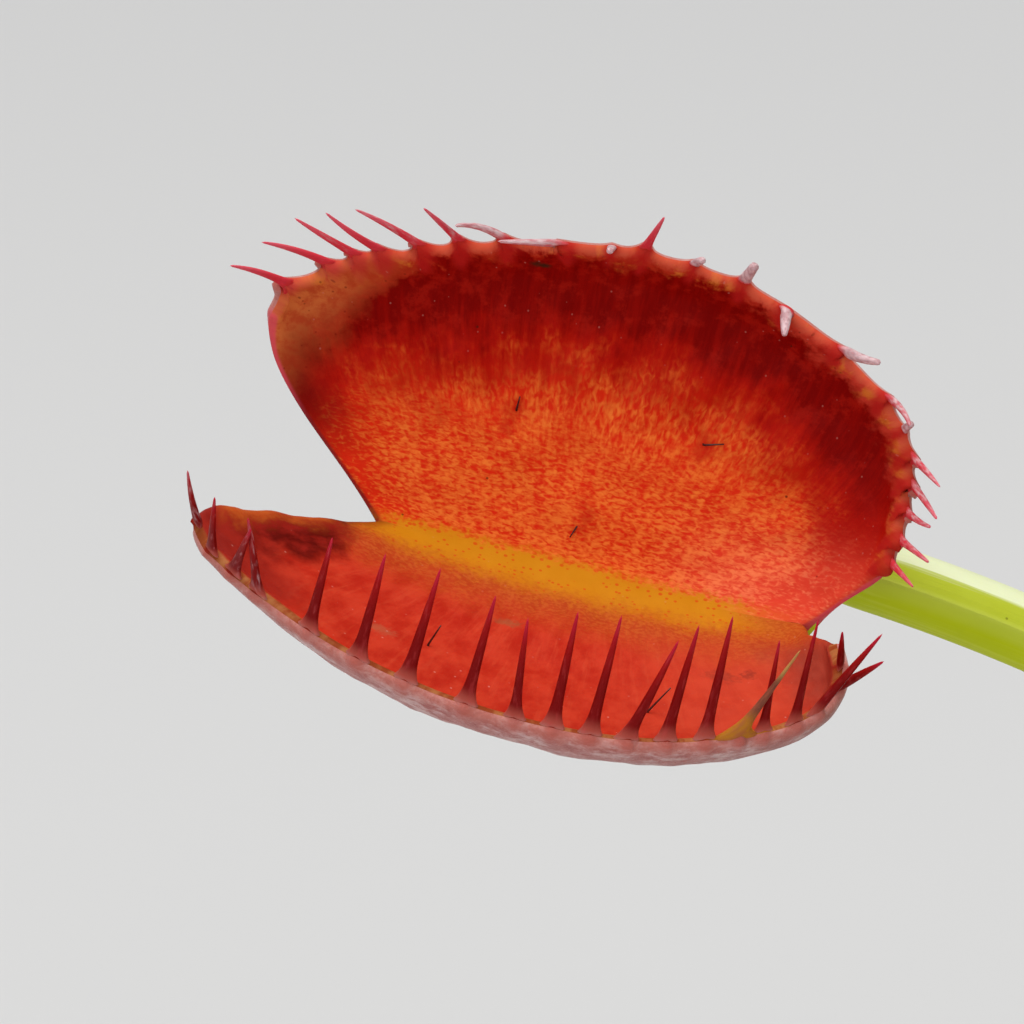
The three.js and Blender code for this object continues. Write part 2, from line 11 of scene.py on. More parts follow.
import bmesh
import bpy
from mathutils import Matrix, Vector, noise


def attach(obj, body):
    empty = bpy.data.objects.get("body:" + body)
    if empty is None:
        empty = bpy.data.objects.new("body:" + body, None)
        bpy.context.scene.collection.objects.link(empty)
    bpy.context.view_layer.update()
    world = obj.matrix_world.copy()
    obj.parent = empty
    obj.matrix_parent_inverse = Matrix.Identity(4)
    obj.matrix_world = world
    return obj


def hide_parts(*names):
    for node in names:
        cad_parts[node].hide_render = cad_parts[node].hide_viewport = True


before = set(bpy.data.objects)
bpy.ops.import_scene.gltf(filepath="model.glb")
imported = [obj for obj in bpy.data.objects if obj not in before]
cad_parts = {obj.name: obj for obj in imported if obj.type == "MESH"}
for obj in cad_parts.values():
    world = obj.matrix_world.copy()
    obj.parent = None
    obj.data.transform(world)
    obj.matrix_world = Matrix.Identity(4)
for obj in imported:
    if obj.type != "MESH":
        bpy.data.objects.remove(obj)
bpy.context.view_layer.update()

MM = 0.001
UP = Vector((0, 0, 1))

# ---------------------------------------------------------------- dimensions of the plant and its pot
GAP = 0.3
POT = {
    "height": 76, "base_radius": 31, "top_radius": 42.5, "wall": 1.6, "floor": 2.4, "foot_chamfer": 1.5,
    "rim_height": 9, "rim_out": 2.2, "drain_holes": 6, "drain_radius": 2, "drain_circle": 23,
}
SOIL_TOP, SOIL_MOUND, SOIL_LUMP = 69, 2.2, 0.5
CROWN = {"radius": 8, "shoulder": 69, "top": 74.5}
LEAF_DEPTH = 5
BLADE_LIFT = 0.34

HINGE_HALF, HINGE_SAG = 10, 0.8
RIM = [
    (-13.1, 4.5), (-12.9, 8.7), (-10.7, 12.6), (-4.9, 15.6), (1.3, 16.3), (7.7, 15.2), (12.6, 13.3),
    (15.8, 11.2), (16.7, 9.2),
]
LIP, END_POWER, KEEL = 3.2, 3, 1.1
SPINE_LENGTH, SPINE_FAN, SPINE_SUNK = 5.2, 30, 0.7

# How far a lobe leans out, in degrees: at the hinge, where its face ends and at its lip. Then how far its
# smooth margins bow outwards at the stalk's end and at the tip, and how far its rim leads towards the tip.
EVEN = {"bulge": (1.1, 1.1), "sweep": 0}
WIDE_NEAR = {
    "middle": (61, 44, -22), "tip": (30, 30, 57), "stalk": (30, 24, 16), "bulge": (1.2, 1.2), "sweep": 0.4,
}
WIDE_FAR = {"middle": (63, 47, 6), "tip": (58, 43, 16), "stalk": (45, 41, 27), "bulge": (1, 1.5), "sweep": -0.3}
OPEN = {"middle": (50, 34, -4), "tip": (40, 26, 0), "stalk": (40, 26, 0), **EVEN}
HALF_OPEN = {"middle": (48, 12, -14), "tip": (34, 6, -6), "stalk": (34, 6, -6), **EVEN}
SHUT = {"middle": (54, -32, -16), "tip": (40, -18, -8), "stalk": (40, -18, -8), **EVEN}

# The long leaf's spines: place along the rim, length, lean over the trap, lean to the leaf's tip, curl in degrees.
# Then how stout each one is, how frosted its outside is, and how blunt its end is.
NEAR_SPINES = [
    (-0.86, 2.8, 10, 5, 0, 0.8, 0.2, 0), (-0.76, 3.0, 20, -36, 0, 1, 0.2, 0),
    (-0.64, 5.0, 35, -26, 8, 1, 0.1, 0), (-0.58, 5.2, 38, 0, 0, 0.8, 0.1, 0), (-0.5, 4.8, 35, 2, 0, 0.7, 0, 0),
    (-0.43, 5.3, 42, -20, -6, 1.3, -1, 0), (-0.36, 6.0, 44, 0, 0, 1, 0, 0), (-0.27, 5.7, 44, -3, 0, 1, 0, 0),
    (-0.18, 5.2, 40, -15, 6, 1, 0.1, 0), (-0.1, 5.7, 44, -2, 0, 1, 0, 0), (-0.015, 5.5, 44, 0, 0, 1, 0, 0),
    (0.07, 5.0, 36, 4, 0, 0.85, 0.1, 0), (0.185, 5.4, 40, -3, 0, 1, 0, 0), (0.33, 5.4, 40, -5, 8, 1.1, 0, 0),
    (0.45, 5.2, 34, -3, 8, 1.1, 0.1, 0), (0.58, 5.0, 28, -3, 6, 1, 0.15, 0),
    (0.725, 4.5, 22, 12, 0, 0.9, 0.45, 0), (0.805, 4.5, 5, -8, 0, 0.9, 0.4, 0),
    (0.88, 4.2, 10, 2, 0, 0.8, 0.3, 0), (0.98, 4.1, 4, 12, 8, 0.8, 0.5, 0),
]
FAR_SPINES = [
    (-0.95, 3.2, 42, -26, 0, 0.85, 0.4, 0), (-0.89, 3.5, 38, -29, 0, 0.9, 0.55, 0.2),
    (-0.82, 2.7, 46, -26, -14, 0.9, 0.6, 0.3), (-0.75, 4.0, 46, -24, 0, 1, 0.6, 0.2),
    (-0.69, 4.0, 42, -26, 0, 1, 0.6, 0), (-0.64, 1.2, 0, -20, 0, 1, 0.9, 1),
    (-0.55, 2.6, 30, -45, 30, 1, 0.7, 0.4), (-0.395, 2.6, 50, -44, -20, 1.4, 0.95, 0.5),
    (-0.25, 1.9, 63, -7, 0, 1.7, 1, 0.4), (-0.137, 1.9, -4, -13, 0, 1.4, 1, 1),
    (-0.015, 1.3, 10, -21, 0, 1.1, 1, 1), (0.1, 3.2, -8, -12, 0, 0.95, 0.35, 0), (0.17, 1.3, 35, 0, 0, 1, 1, 1),
    (0.26, 3.4, 54, 66, 0, 1, 0.8, 0.2), (0.4, 3.5, -12, 46, 34, 1, 0.8, 0.3),
    (0.505, 4.0, 6, 28, 0, 0.95, 0.55, 0), (0.588, 4.8, 8, 43, 0, 1, 0.5, 0), (0.68, 4.7, 8, 37, 0, 1, 0.3, 0),
    (0.735, 4.8, 8, 41, 0, 1, 0.3, 0), (0.8, 4.8, 14, 43, 6, 1, 0.2, 0), (0.91, 4.7, 15, 36, 6, 1, 0.2, 0),
]

PLAIN_JOINT = {"at": (-HINGE_HALF - 3 * GAP, 0, -1.3), "heading": (1, 0, 0)}
LONG_JOINT = {"at": (-9.9, -0.95, -0.8), "heading": (0.25, 0.7, 0.65)}


def leaf(name, azimuth, length, rise, bend, blade, size, turn, pitch, roll, near, far, **more):
    """A leaf's dimensions, as the source has them."""
    trap = {"size": size, "turn": turn, "pitch": pitch, "roll": roll, "near": near, "far": far}
    plain = {
        "name": name, "azimuth": azimuth, "length": length, "rise": rise, "bend": bend, "blade": blade, "trap": trap,
        "blade_end": 0.86, "joint": PLAIN_JOINT, "neck": None, "from": CROWN["radius"] + GAP + 1.45,
        "foot": SOIL_TOP + SOIL_MOUND - LEAF_DEPTH, "foot_half": 2.2, "stalk_half": 1.65 * max(size, 0.75),
        "neck_share": 0.52, "taper_from": 0.88, "rib": 2.7 * max(size, 0.75),
    }
    return {**plain, **more}


LEAVES = [
    leaf("1", 180, 70, (70, 20), 0, 4.6, 1, -9.7, 10.4, 35.7, WIDE_NEAR, WIDE_FAR,
         blade_end=0.68, neck=(2.5, 3.6, 0), joint=LONG_JOINT, taper_from=0.93),
    leaf("2", 317.5, 55, (78, 12), 6, 5.4, 0.86, 4, 14, 12, OPEN, OPEN),
    leaf("3", 95, 56, (80, 16), -8, 5.2, 0.8, -6, 20, -16, OPEN, OPEN),
    leaf("4", 232.5, 40, (72, -6), 8, 5.6, 0.72, 5, -2, 14, HALF_OPEN, HALF_OPEN),
    leaf("5", 10, 59, (80, 22), 5, 5.0, 0.84, 8, 24, -10, OPEN, OPEN),
    leaf("6", 144, 29, (66, 0), 6, 5.2, 0.56, 6, 6, 10, SHUT, SHUT),
    leaf("7", 284, 44, (70, 0), -14, 6.0, 0.76, -4, 8, -12, OPEN, OPEN),
    leaf("8", 57.5, 42, (70, 0), 6, 5.8, 0.7, 6, 6, 12, HALF_OPEN, HALF_OPEN),
]
YOUNG = {
    "foot": CROWN["top"] - 3.4, "blade_end": 0.9, "foot_half": 1.3, "stalk_half": 0.9, "neck_share": 0.8, "rib": 1.6,
}
YOUNG_LEAVES = [
    leaf("1", 130, 26, (86, 74), 10, 1.9, 0.3, 0, 70, 0, SHUT, SHUT, **{**YOUNG, "from": 3.4}),
    leaf("2", 335, 18, (86, 66), -12, 1.7, 0.24, 0, 62, 0, SHUT, SHUT, **{**YOUNG, "from": 3.6}),
]

# ---------------------------------------------------------------- small sums
def lerp(a, b, t):
    return a + (b - a) * t


def clamp(x, low=0.0, high=1.0):
    return min(max(x, low), high)


def smooth(x, low, high):
    t = clamp((x - low) / (high - low))
    return t * t * (3 - 2 * t)


def round_end(distance, reach):
    """1 away from an edge, falling as a quarter circle within reach of it."""
    near = clamp(1 - distance / reach)
    return math.sqrt(max(1 - near * near, 0.0))


def around(radius, angle):
    """The place at this distance and angle round an upright axis."""
    return radius * math.cos(angle), radius * math.sin(angle)


def source_draws(seed):
    """The same even draws as the source makes, so that the spines stand where its spines do."""
    state = seed
    while True:
        state = (state * 1664525 + 1013904223) % 4294967296
        yield state / 4294967296


# ---------------------------------------------------------------- finishes
class Finish:
    """One material, put together from shader nodes step by step."""

    def __init__(self, name, **sockets):
        self.material = bpy.data.materials.new(name)
        self.material.use_nodes = True
        self.tree = self.material.node_tree
        self.tree.nodes.clear()
        output = self.tree.nodes.new("ShaderNodeOutputMaterial")
        self.skin = self.tree.nodes.new("ShaderNodeBsdfPrincipled")
        self.tree.links.new(self.skin.outputs[0], output.inputs[0])
        for socket, value in sockets.items():
            self.put(socket.replace("_", " "), value)

    def put(self, socket, value):
        """Sets a socket of the shader, or joins it to another node."""
        self._fill(self.skin.inputs[socket], value)

    def _fill(self, target, value):
        if isinstance(value, bpy.types.NodeSocket):
            self.tree.links.new(value, target)
        elif isinstance(value, tuple) and target.type == "RGBA":
            target.default_value = (*value[:3], 1)
        else:
            target.default_value = value

    def node(self, kind, inputs, **settings):
        made = self.tree.nodes.new(kind)
        for key, value in settings.items():
            setattr(made, key, value)
        for key, value in inputs.items():
            self._fill(made.inputs[key], value)
        return made

    def attribute(self, name):
        return self.node("ShaderNodeAttribute", {}, attribute_name=name).outputs["Vector"]

    def place(self):
        return self.node("ShaderNodeTexCoord", {}).outputs["Object"]

    def split(self, vector):
        return self.node("ShaderNodeSeparateXYZ", {"Vector": vector}).outputs[:3]

    def stretch(self, vector, by):
        return self.node("ShaderNodeVectorMath", {0: vector, 1: by}, operation="MULTIPLY").outputs[0]

    def grain(self, vector, scale, detail=3.0, rough=0.55, warp=0.0):
        inputs = {"Vector": vector, "Scale": scale, "Detail": detail, "Roughness": rough, "Distortion": warp}
        return self.node("ShaderNodeTexNoise", inputs).outputs["Fac"]

    def streaks(self, vector, by, detail=3.0, rough=0.55, warp=0.0):
        """Grain drawn out, with this many grains to a unit along each axis."""
        return self.grain(self.stretch(vector, by), 1.0, detail, rough, warp)

    def dots(self, vector, scale, size, more=None):
        """1 inside scattered round dots, 0 between them. Where more is above 0 they are larger."""
        cell = self.node("ShaderNodeTexVoronoi", {"Vector": vector, "Scale": scale, "Randomness": 1.0})
        distance = cell.outputs["Distance"]
        if more is not None:
            distance = self.sum("SUBTRACT", distance, more)
        return self.ramp(distance, size, size * 0.5)

    def ramp(self, value, low, high, start=0.0, end=1.0):
        """Runs smoothly from start to end while the value runs from low to high."""
        inputs = {"Value": value, "From Min": low, "From Max": high, "To Min": start, "To Max": end}
        return self.node("ShaderNodeMapRange", inputs, interpolation_type="SMOOTHSTEP").outputs[0]

    def sum(self, operation, a, b):
        return self.node("ShaderNodeMath", {0: a, 1: b}, operation=operation).outputs[0]

    def times(self, a, b):
        return self.sum("MULTIPLY", a, b)

    def plus(self, a, b):
        return self.sum("ADD", a, b)

    def mix(self, share, a, b):
        """From colour a to colour b."""
        inputs = {0: share, 6: a, 7: b}
        return self.node("ShaderNodeMix", inputs, data_type="RGBA", clamp_factor=True).outputs[2]

    def wash(self, colour, where, strength, tint):
        """Lays a tint over the colour, this strongly where the mask is 1."""
        return self.mix(self.times(where, strength), colour, tint)

    def between(self, share, a, b):
        """From number a to number b."""
        inputs = {0: share, 2: a, 3: b}
        return self.node("ShaderNodeMix", inputs, data_type="FLOAT", clamp_factor=True).outputs[0]

    def off(self, value, by):
        """A noise value spread about 0 by this much."""
        return self.times(self.plus(value, -0.5), by)

    def join(self, x, y, z=0.0):
        return self.node("ShaderNodeCombineXYZ", {"X": x, "Y": y, "Z": z}).outputs[0]

    def spot(self, vector, centre, size, ragged):
        """1 inside one soft-edged mark of this size at this place, made ragged by a noise value."""
        away = self.node("ShaderNodeVectorMath", {0: vector, 1: (*centre, 0)}, operation="SUBTRACT").outputs[0]
        flat = self.stretch(away, (1 / size[0], 1 / size[1], 0))
        length = self.node("ShaderNodeVectorMath", {0: flat}, operation="LENGTH").outputs["Value"]
        return self.ramp(self.plus(length, self.off(ragged, 3.0)), 1.5, 0.2)

    def done(self, colour, rough, relief, depth, strength):
        """The finished material: its colour, its roughness and its fine relief, depth in millimetres."""
        self.put("Base Color", colour)
        if rough is not None:
            self.put("Roughness", rough)
        inputs = {"Height": relief, "Distance": depth * MM, "Strength": strength}
        self.put("Normal", self.node("ShaderNodeBump", inputs).outputs[0])
        return self.material


FLESH = {
    "Specular_IOR_Level": 0.025, "Subsurface_Weight": 0.08, "Subsurface_Radius": (1.0, 0.2, 0.08),
    "Subsurface_Scale": 0.5 * MM,
}


class LobeFinish(Finish):
    """A finish that reads a lobe's own places: millimetres over the flattened lobe, and to its edges."""

    def __init__(self, name, **sockets):
        super().__init__(name, **{**FLESH, **sockets})
        self.flat, zone, self.fibre = self.attribute("flat"), self.attribute("zone"), self.attribute("fibre")
        _, self.across, self.along = self.split(self.flat)
        self.to_rim, self.to_hinge, self.to_margin = self.split(zone)
        _, _, self.foot = self.split(self.fibre)
        self.skirt = self.attribute("skirt")
        self.cloud = self.grain(self.flat, 0.5, 4)
        self.strands = self.streaks(self.fibre, (3.6, 0.3, 1), 4, 0.65)
        self.wander = self.plus(self.off(self.cloud, 4.4), self.off(self.strands, 2.2))

    def golden_band(self, colour, low, high, fade):
        """The yellow band along the hinge, strewn with small red dots, from low to high across the hinge."""
        ragged = self.plus(self.off(self.grain(self.flat, 3.4, 4, 0.7), 1.8), self.off(self.cloud, 0.8))
        place = self.plus(self.across, ragged)
        band = self.times(self.ramp(place, low - fade, low + 0.4), self.ramp(place, high + 1.4, high - 0.8))
        band = self.times(band, self.ramp(self.along, -0.88, -0.55, 0.15, 1))
        band = self.times(band, self.ramp(self.to_margin, 0.2, 1.3, 0.3, 1))
        yellow = self.mix(self.grain(self.flat, 0.7, 3), (0.57, 0.20, 0.003), (0.65, 0.26, 0.010))
        nearer = self.ramp(self.plus(self.across, self.off(self.cloud, 0.5)), 0.4, low - fade, 0, 0.2)
        dots = self.dots(self.stretch(self.flat, (1, 1.15, 1)), 2.8, 0.27, nearer)
        yellow = self.mix(self.times(dots, 0.8), yellow, (0.64, 0.065, 0.005))
        return self.mix(band, colour, yellow)


def far_face():
    """The far lobe's inner face: fine orange flecks on red, a deep red band below the rim, and a tan corner."""
    f = LobeFinish("far face")
    low = f.streaks(f.flat, (3.3, 6.8, 1), 1.6, 0.5, 0.5)
    high = f.streaks(f.fibre, (6.4, 2.6, 1), 1.8, 0.5, 0.5)
    height = f.plus(f.to_hinge, f.off(f.cloud, 4))
    grain = f.between(f.ramp(height, 4.5, 8.5), low, high)
    stripes = f.streaks(f.fibre, (1.5, 0.16, 1), 3, 0.6)
    lean = f.plus(f.ramp(f.to_hinge, 6, 1.2, 0.0, 0.05), f.times(f.ramp(stripes, 0.56, 0.42), -0.06))
    clear = f.sum("DIVIDE", f.plus(f.to_margin, f.off(f.cloud, 2.6)), f.ramp(f.along, 0, -0.5, 3.0, 5.0))
    lean = f.plus(lean, f.ramp(clear, 1.0, 0.3, 0.02, -0.13))
    flecks = f.ramp(f.plus(grain, f.plus(lean, f.off(f.grain(f.flat, 0.9, 3, 0.6), 0.16))), 0.31, 0.77)

    depth = f.plus(f.to_rim, f.wander)
    # Lighter and more orange away from the rim, towards the middle: partly the lobe's own colour, partly painted glow
    # of light shining through the lobe.
    body = f.mix(f.ramp(depth, 4.6, 8.6), (0.38, 0.005, 0.002), (0.65, 0.023, 0.005))
    upper = f.plus(depth, f.off(f.grain(f.flat, 0.8, 3), 4.0))
    orange = f.mix(f.ramp(upper, 4.6, 9.0), (0.42, 0.008, 0.002), (0.80, 0.18, 0.026))
    pale = f.times(f.ramp(f.along, -0.1, -0.7), f.ramp(f.to_hinge, 6, 1.5))
    orange = f.wash(orange, pale, 0.8, (0.95, 0.22, 0.10))
    body = f.wash(body, pale, 0.85, (0.80, 0.070, 0.034))
    colour = f.mix(flecks, body, orange)
    rays = f.ramp(f.strands, 0.53, 0.66)
    colour = f.mix(f.times(rays, f.ramp(depth, 4.2, 6.5, 0, 0.12)), colour, (0.70, 0.04, 0.008))

    deep = f.mix(f.ramp(f.strands, 0.38, 0.68), (0.185, 0.0012, 0.0006), (0.25, 0.0025, 0.001))
    deep = f.mix(f.ramp(f.grain(f.flat, 0.9, 5, 0.7), 0.48, 0.66, 0, 0.6), deep, (0.36, 0.009, 0.004))
    stalk_end = f.times(f.ramp(f.along, -0.5, -0.8), f.ramp(f.to_hinge, 9, 4.5))
    colour = f.mix(f.times(f.ramp(depth, 5.6, 3.2), f.plus(1, f.times(stalk_end, -1))), colour, deep)
    side = f.plus(f.to_margin, f.off(f.cloud, 1.8))
    side = f.plus(side, f.times(stalk_end, 1.4))
    dark_side = f.times(f.ramp(side, 2.3, 0.5), f.ramp(f.to_hinge, 2.6, 5.5, 0, 0.95))
    colour = f.mix(dark_side, colour, (0.17, 0.003, 0.0015))

    # the rim: thin and reddish, with a broad tan corner at the leaf's tip and yellow patches between the feet
    corner = f.ramp(f.along, 0.56, 0.86)
    stalkward = f.ramp(f.along, 0.0, -0.4)
    crumbly = f.off(f.grain(f.flat, 1.5, 4, 0.65), 2.4)
    reach = f.plus(f.between(corner, f.between(stalkward, 0.6, 0.8), 3.2), f.off(f.cloud, 2.0))
    tan_grain = f.grain(f.flat, 1.5, 6, 0.65)
    tan = f.mix(f.ramp(tan_grain, 0.36, 0.66), (0.44, 0.060, 0.016), (0.58, 0.145, 0.036))
    edge = f.mix(corner, f.mix(stalkward, (0.42, 0.026, 0.009), (0.52, 0.042, 0.022)), tan)
    patches = f.ramp(f.grain(f.flat, 1.05, 4, 0.6), 0.50, 0.68)
    patches = f.times(patches, f.ramp(f.to_rim, 1.6, 0.5))
    edge = f.wash(edge, patches, 0.85, (0.60, 0.165, 0.022))
    edge = f.wash(edge, f.dots(f.flat, 2.2, 0.16), 0.6, (0.13, 0.018, 0.006))
    ratio = f.sum("DIVIDE", f.plus(f.to_rim, crumbly), f.sum("MAXIMUM", reach, 0.3))
    colour = f.mix(f.ramp(ratio, 1.7, 0.25), colour, edge)
    colour = f.mix(f.ramp(f.plus(f.to_rim, f.times(crumbly, 0.35)), 0.36, 0.0, 0, 0.55), colour, (0.62, 0.11, 0.055))
    foot_red = f.mix(corner, (0.42, 0.012, 0.010), (0.56, 0.036, 0.042))
    stain = f.ramp(f.plus(f.foot, f.off(crumbly, 0.12)), 0.04, 0.40, 0, 0.85)
    stain = f.times(stain, f.between(corner, 1, f.ramp(f.to_rim, 0.9, 0.1, 0, 0.8)))
    colour = f.mix(stain, colour, foot_red)
    rose = f.mix(f.ramp(f.to_rim, 6, 3), (0.20, 0.012, 0.014), (0.66, 0.065, 0.095))
    colour = f.mix(f.ramp(f.to_margin, 0.26, 0.08, 0, 0.8), colour, rose)

    colour = f.golden_band(colour, -0.65, 1.2, 0.5)
    ragged = f.grain(f.flat, 1.9, 3)
    colour = f.wash(colour, f.spot(f.flat, (5.5, -14.3), (0.36, 0.2), ragged), 0.85, (0.022, 0.014, 0.006))
    for x, y in ((5.2, -6.6), (-3.5, -7.4), (0.9, -3.0)):  # a red flush round the foot of each trigger hair
        colour = f.wash(colour, f.spot(f.flat, (x, y), (0.5, 0.75), ragged), 0.7, (0.50, 0.012, 0.003))
    specks = f.times(f.dots(f.stretch(f.flat, (1.0, 0.9, 1)), 1.7, 0.10), f.ramp(depth, 7, 3.5))
    colour = f.wash(colour, specks, 0.3, (0.50, 0.20, 0.16))
    motes = f.dots(f.flat, 0.62, 0.05)
    colour = f.wash(colour, motes, 0.7, (0.04, 0.008, 0.004))
    relief = f.plus(f.times(grain, 0.4), f.times(f.strands, 0.35))
    return f.done(colour, f.between(f.cloud, 0.42, 0.6), relief, 0.03, 0.5)


def near_face():
    """The near lobe's inner face: a softer brick red, hazy towards the hinge and maroon at the leaf's tip."""
    f = LobeFinish("near face")
    soft = f.streaks(f.fibre, (1.3, 0.7, 1), 4, 0.6)
    fine = f.streaks(f.flat, (4.5, 6.5, 1), 3, 0.6)
    body = f.mix(f.ramp(soft, 0.32, 0.68), (0.42, 0.018, 0.008), (0.53, 0.040, 0.017))
    rays = f.ramp(f.strands, 0.5, 0.68)
    body = f.wash(body, rays, 0.22, (0.62, 0.085, 0.035))
    body = f.wash(body, f.ramp(f.plus(f.to_rim, f.off(f.cloud, 2)), 3.6, 1.6), 0.75, (0.68, 0.034, 0.013))
    right = f.times(f.ramp(f.along, 0.0, -0.55), f.ramp(f.to_rim, 1, 5))
    body = f.wash(body, right, 0.45, (0.60, 0.075, 0.035))
    haze_colour = f.mix(f.ramp(fine, 0.40, 0.62), (0.44, 0.058, 0.011), (0.52, 0.108, 0.018))
    haze = f.ramp(f.plus(f.to_hinge, f.off(f.cloud, 2.5)), 5.4, 1.4)
    colour = f.wash(body, haze, 0.92, haze_colour)

    tipward = f.plus(f.along, f.ramp(f.to_hinge, 1, 5, -0.14, 0))
    tip = f.ramp(f.plus(tipward, f.off(f.cloud, 0.30)), 0.71, 0.87)
    maroon = f.mix(f.ramp(soft, 0.35, 0.7), (0.085, 0.003, 0.002), (0.24, 0.011, 0.007))
    colour = f.wash(colour, tip, 0.96, maroon)
    foot_end = f.times(f.ramp(f.plus(f.along, f.off(f.strands, 0.12)), 0.60, 0.74), f.ramp(f.to_rim, 6.0, 2.6))
    colour = f.wash(colour, foot_end, 0.88, f.mix(soft, (0.20, 0.008, 0.006), (0.38, 0.026, 0.014)))
    top_edge = f.times(f.ramp(f.plus(f.to_margin, f.off(soft, 2.4)), 1.3, 0.0), f.ramp(f.along, 0.6, 0.8))
    top_edge = f.times(top_edge, f.times(f.ramp(f.to_hinge, 1.8, 3.0), f.ramp(f.to_rim, 1.8, 3.2)))
    colour = f.wash(colour, top_edge, 0.9, f.mix(fine, (0.44, 0.045, 0.009), (0.54, 0.13, 0.020)))
    stalk_end = f.times(f.ramp(f.plus(f.along, f.off(f.cloud, 0.2)), -0.60, -0.78), f.ramp(f.to_hinge, 1.6, 4.2))
    colour = f.wash(colour, stalk_end, 0.88, f.mix(soft, (0.19, 0.016, 0.010), (0.38, 0.062, 0.036)))

    ragged = f.grain(f.flat, 1.9, 3)
    for centre, size, tint in (
        ((3.0, 4.7), (0.6, 0.34), (0.22, 0.13, 0.05)), ((8.4, 8.9), (0.75, 0.36), (0.34, 0.13, 0.06)),
        ((-7.0, 5.4), (0.7, 0.45), (0.16, 0.03, 0.02)), ((-8.2, 5.0), (0.3, 0.3), (0.06, 0.012, 0.01)),
    ):
        colour = f.wash(colour, f.spot(f.flat, centre, size, fine), 0.4, tint)
    brown = f.mix(f.ramp(ragged, 0.4, 0.65), (0.27, 0.05, 0.013), (0.38, 0.13, 0.042))
    colour = f.mix(f.ramp(f.plus(f.to_rim, f.off(ragged, 0.3)), 0.32, 0.1), colour, brown)
    colour = f.mix(f.ramp(f.foot, 0.3, 0.75, 0, 0.9), colour, (0.24, 0.012, 0.008))
    rotten = f.times(f.ramp(f.to_rim, 2.0, 0.5), f.times(f.ramp(f.along, -0.56, -0.48), f.ramp(f.along, -0.34, -0.42)))
    colour = f.wash(colour, rotten, 0.85, (0.52, 0.19, 0.022))

    colour = f.golden_band(colour, -0.65, 1.2, 0.5)
    specks = f.dots(f.stretch(f.flat, (1.1, 0.93, 1)), 1.25, 0.09)
    specks = f.times(specks, f.ramp(f.to_rim, 0.5, 0.9))
    colour = f.mix(f.times(specks, f.ramp(f.to_rim, 8, 3, 0.1, 0.5)), colour, (0.72, 0.36, 0.29))
    relief = f.plus(f.times(fine, 0.4), f.times(f.strands, 0.8))
    return f.done(colour, f.between(f.cloud, 0.4, 0.58), relief, 0.04, 0.5)


def plain_face(name, ripe):
    """The inner face of the other traps: red in the middle and greener towards the rim, the younger the greener."""
    f = LobeFinish(name, Specular_IOR_Level=0.15)
    grain = f.streaks(f.fibre, (3.0, 1.6, 1), 3)
    depth = f.plus(f.to_rim, f.wander)
    body = f.mix(f.ramp(grain, 0.4, 0.64), (0.46, 0.014, 0.005), (0.66, 0.075, 0.018))
    colour = f.mix(f.ramp(depth, 4.8, 2.6), body, (0.27, 0.006, 0.003))
    green = f.mix(f.cloud, (0.36, 0.40, 0.04), (0.50, 0.48, 0.08))
    keep = f.ramp(f.plus(f.to_rim, f.off(f.cloud, 2.0)), 0.5, 1.9, 0.25 * ripe, ripe)
    colour = f.mix(keep, green, colour)
    colour = f.golden_band(colour, -0.8, 0.8, 0.4)
    return f.done(colour, f.between(grain, 0.4, 0.55), f.plus(f.times(grain, 0.6), f.strands), 0.05, 0.6)


def lobe_outside(name, ripe):
    """The frosted outside of a lobe, mauve on the long leaf's trap and greener on the others."""
    f = LobeFinish(name, Specular_IOR_Level=0.1, Subsurface_Weight=0.05, Sheen_Weight=0.25, Sheen_Roughness=0.5)
    streaks = f.streaks(f.skirt, (0.9, 2.4, 1), 6, 0.75)
    bloom = f.plus(f.ramp(f.to_rim, 1.4, 3.0, 0, 0.18), f.off(f.cloud, 0.5))
    frost = f.ramp(f.plus(streaks, bloom), 0.44, 0.70)
    mauve = f.mix(f.ramp(streaks, 0.35, 0.6), (0.36, 0.095, 0.082), (0.46, 0.165, 0.145))
    ripe_skin = f.mix(frost, mauve, (0.62, 0.41, 0.39))
    green_skin = f.mix(frost, (0.30, 0.33, 0.04), (0.44, 0.46, 0.12))
    blush = f.ramp(f.plus(f.to_rim, f.off(f.cloud, 5)), 7, 1.5, 0.0, 0.6)
    skin = f.mix(blush, green_skin, mauve)
    skin = f.mix(ripe, skin, ripe_skin)
    specks = f.dots(f.stretch(f.flat, (1.0, 1.6, 1)), 2.0, 0.2)
    skin = f.wash(skin, specks, 0.5, (0.30, 0.035, 0.03))
    edge = f.plus(f.to_rim, f.off(f.grain(f.flat, 1.9, 3), 0.6))
    skin = f.mix(f.ramp(edge, 0.6, 0.15, 0, 0.6), skin, (0.52, 0.16, 0.12))
    # Reddish streaks below the spine feet: partly their own red, partly painted shade cast by the feet.
    skin = f.wash(skin, f.ramp(f.foot, 0.15, 0.8), 0.7, (0.44, 0.09, 0.065))
    rosy = f.times(f.ramp(f.to_margin, 0.5, 0.1), f.times(f.ramp(f.to_hinge, 1.5, 4.0), ripe))
    skin = f.wash(skin, rosy, 0.8, (0.60, 0.07, 0.09))
    skin = f.mix(f.ramp(f.to_hinge, 2.4, 0.6), skin, (0.40, 0.42, 0.07))
    relief = f.plus(f.streaks(f.flat, (5, 5, 1), 4, 0.7), f.times(streaks, 1.2))
    return f.done(skin, f.between(frost, 0.5, 0.75), relief, 0.10, 0.7)


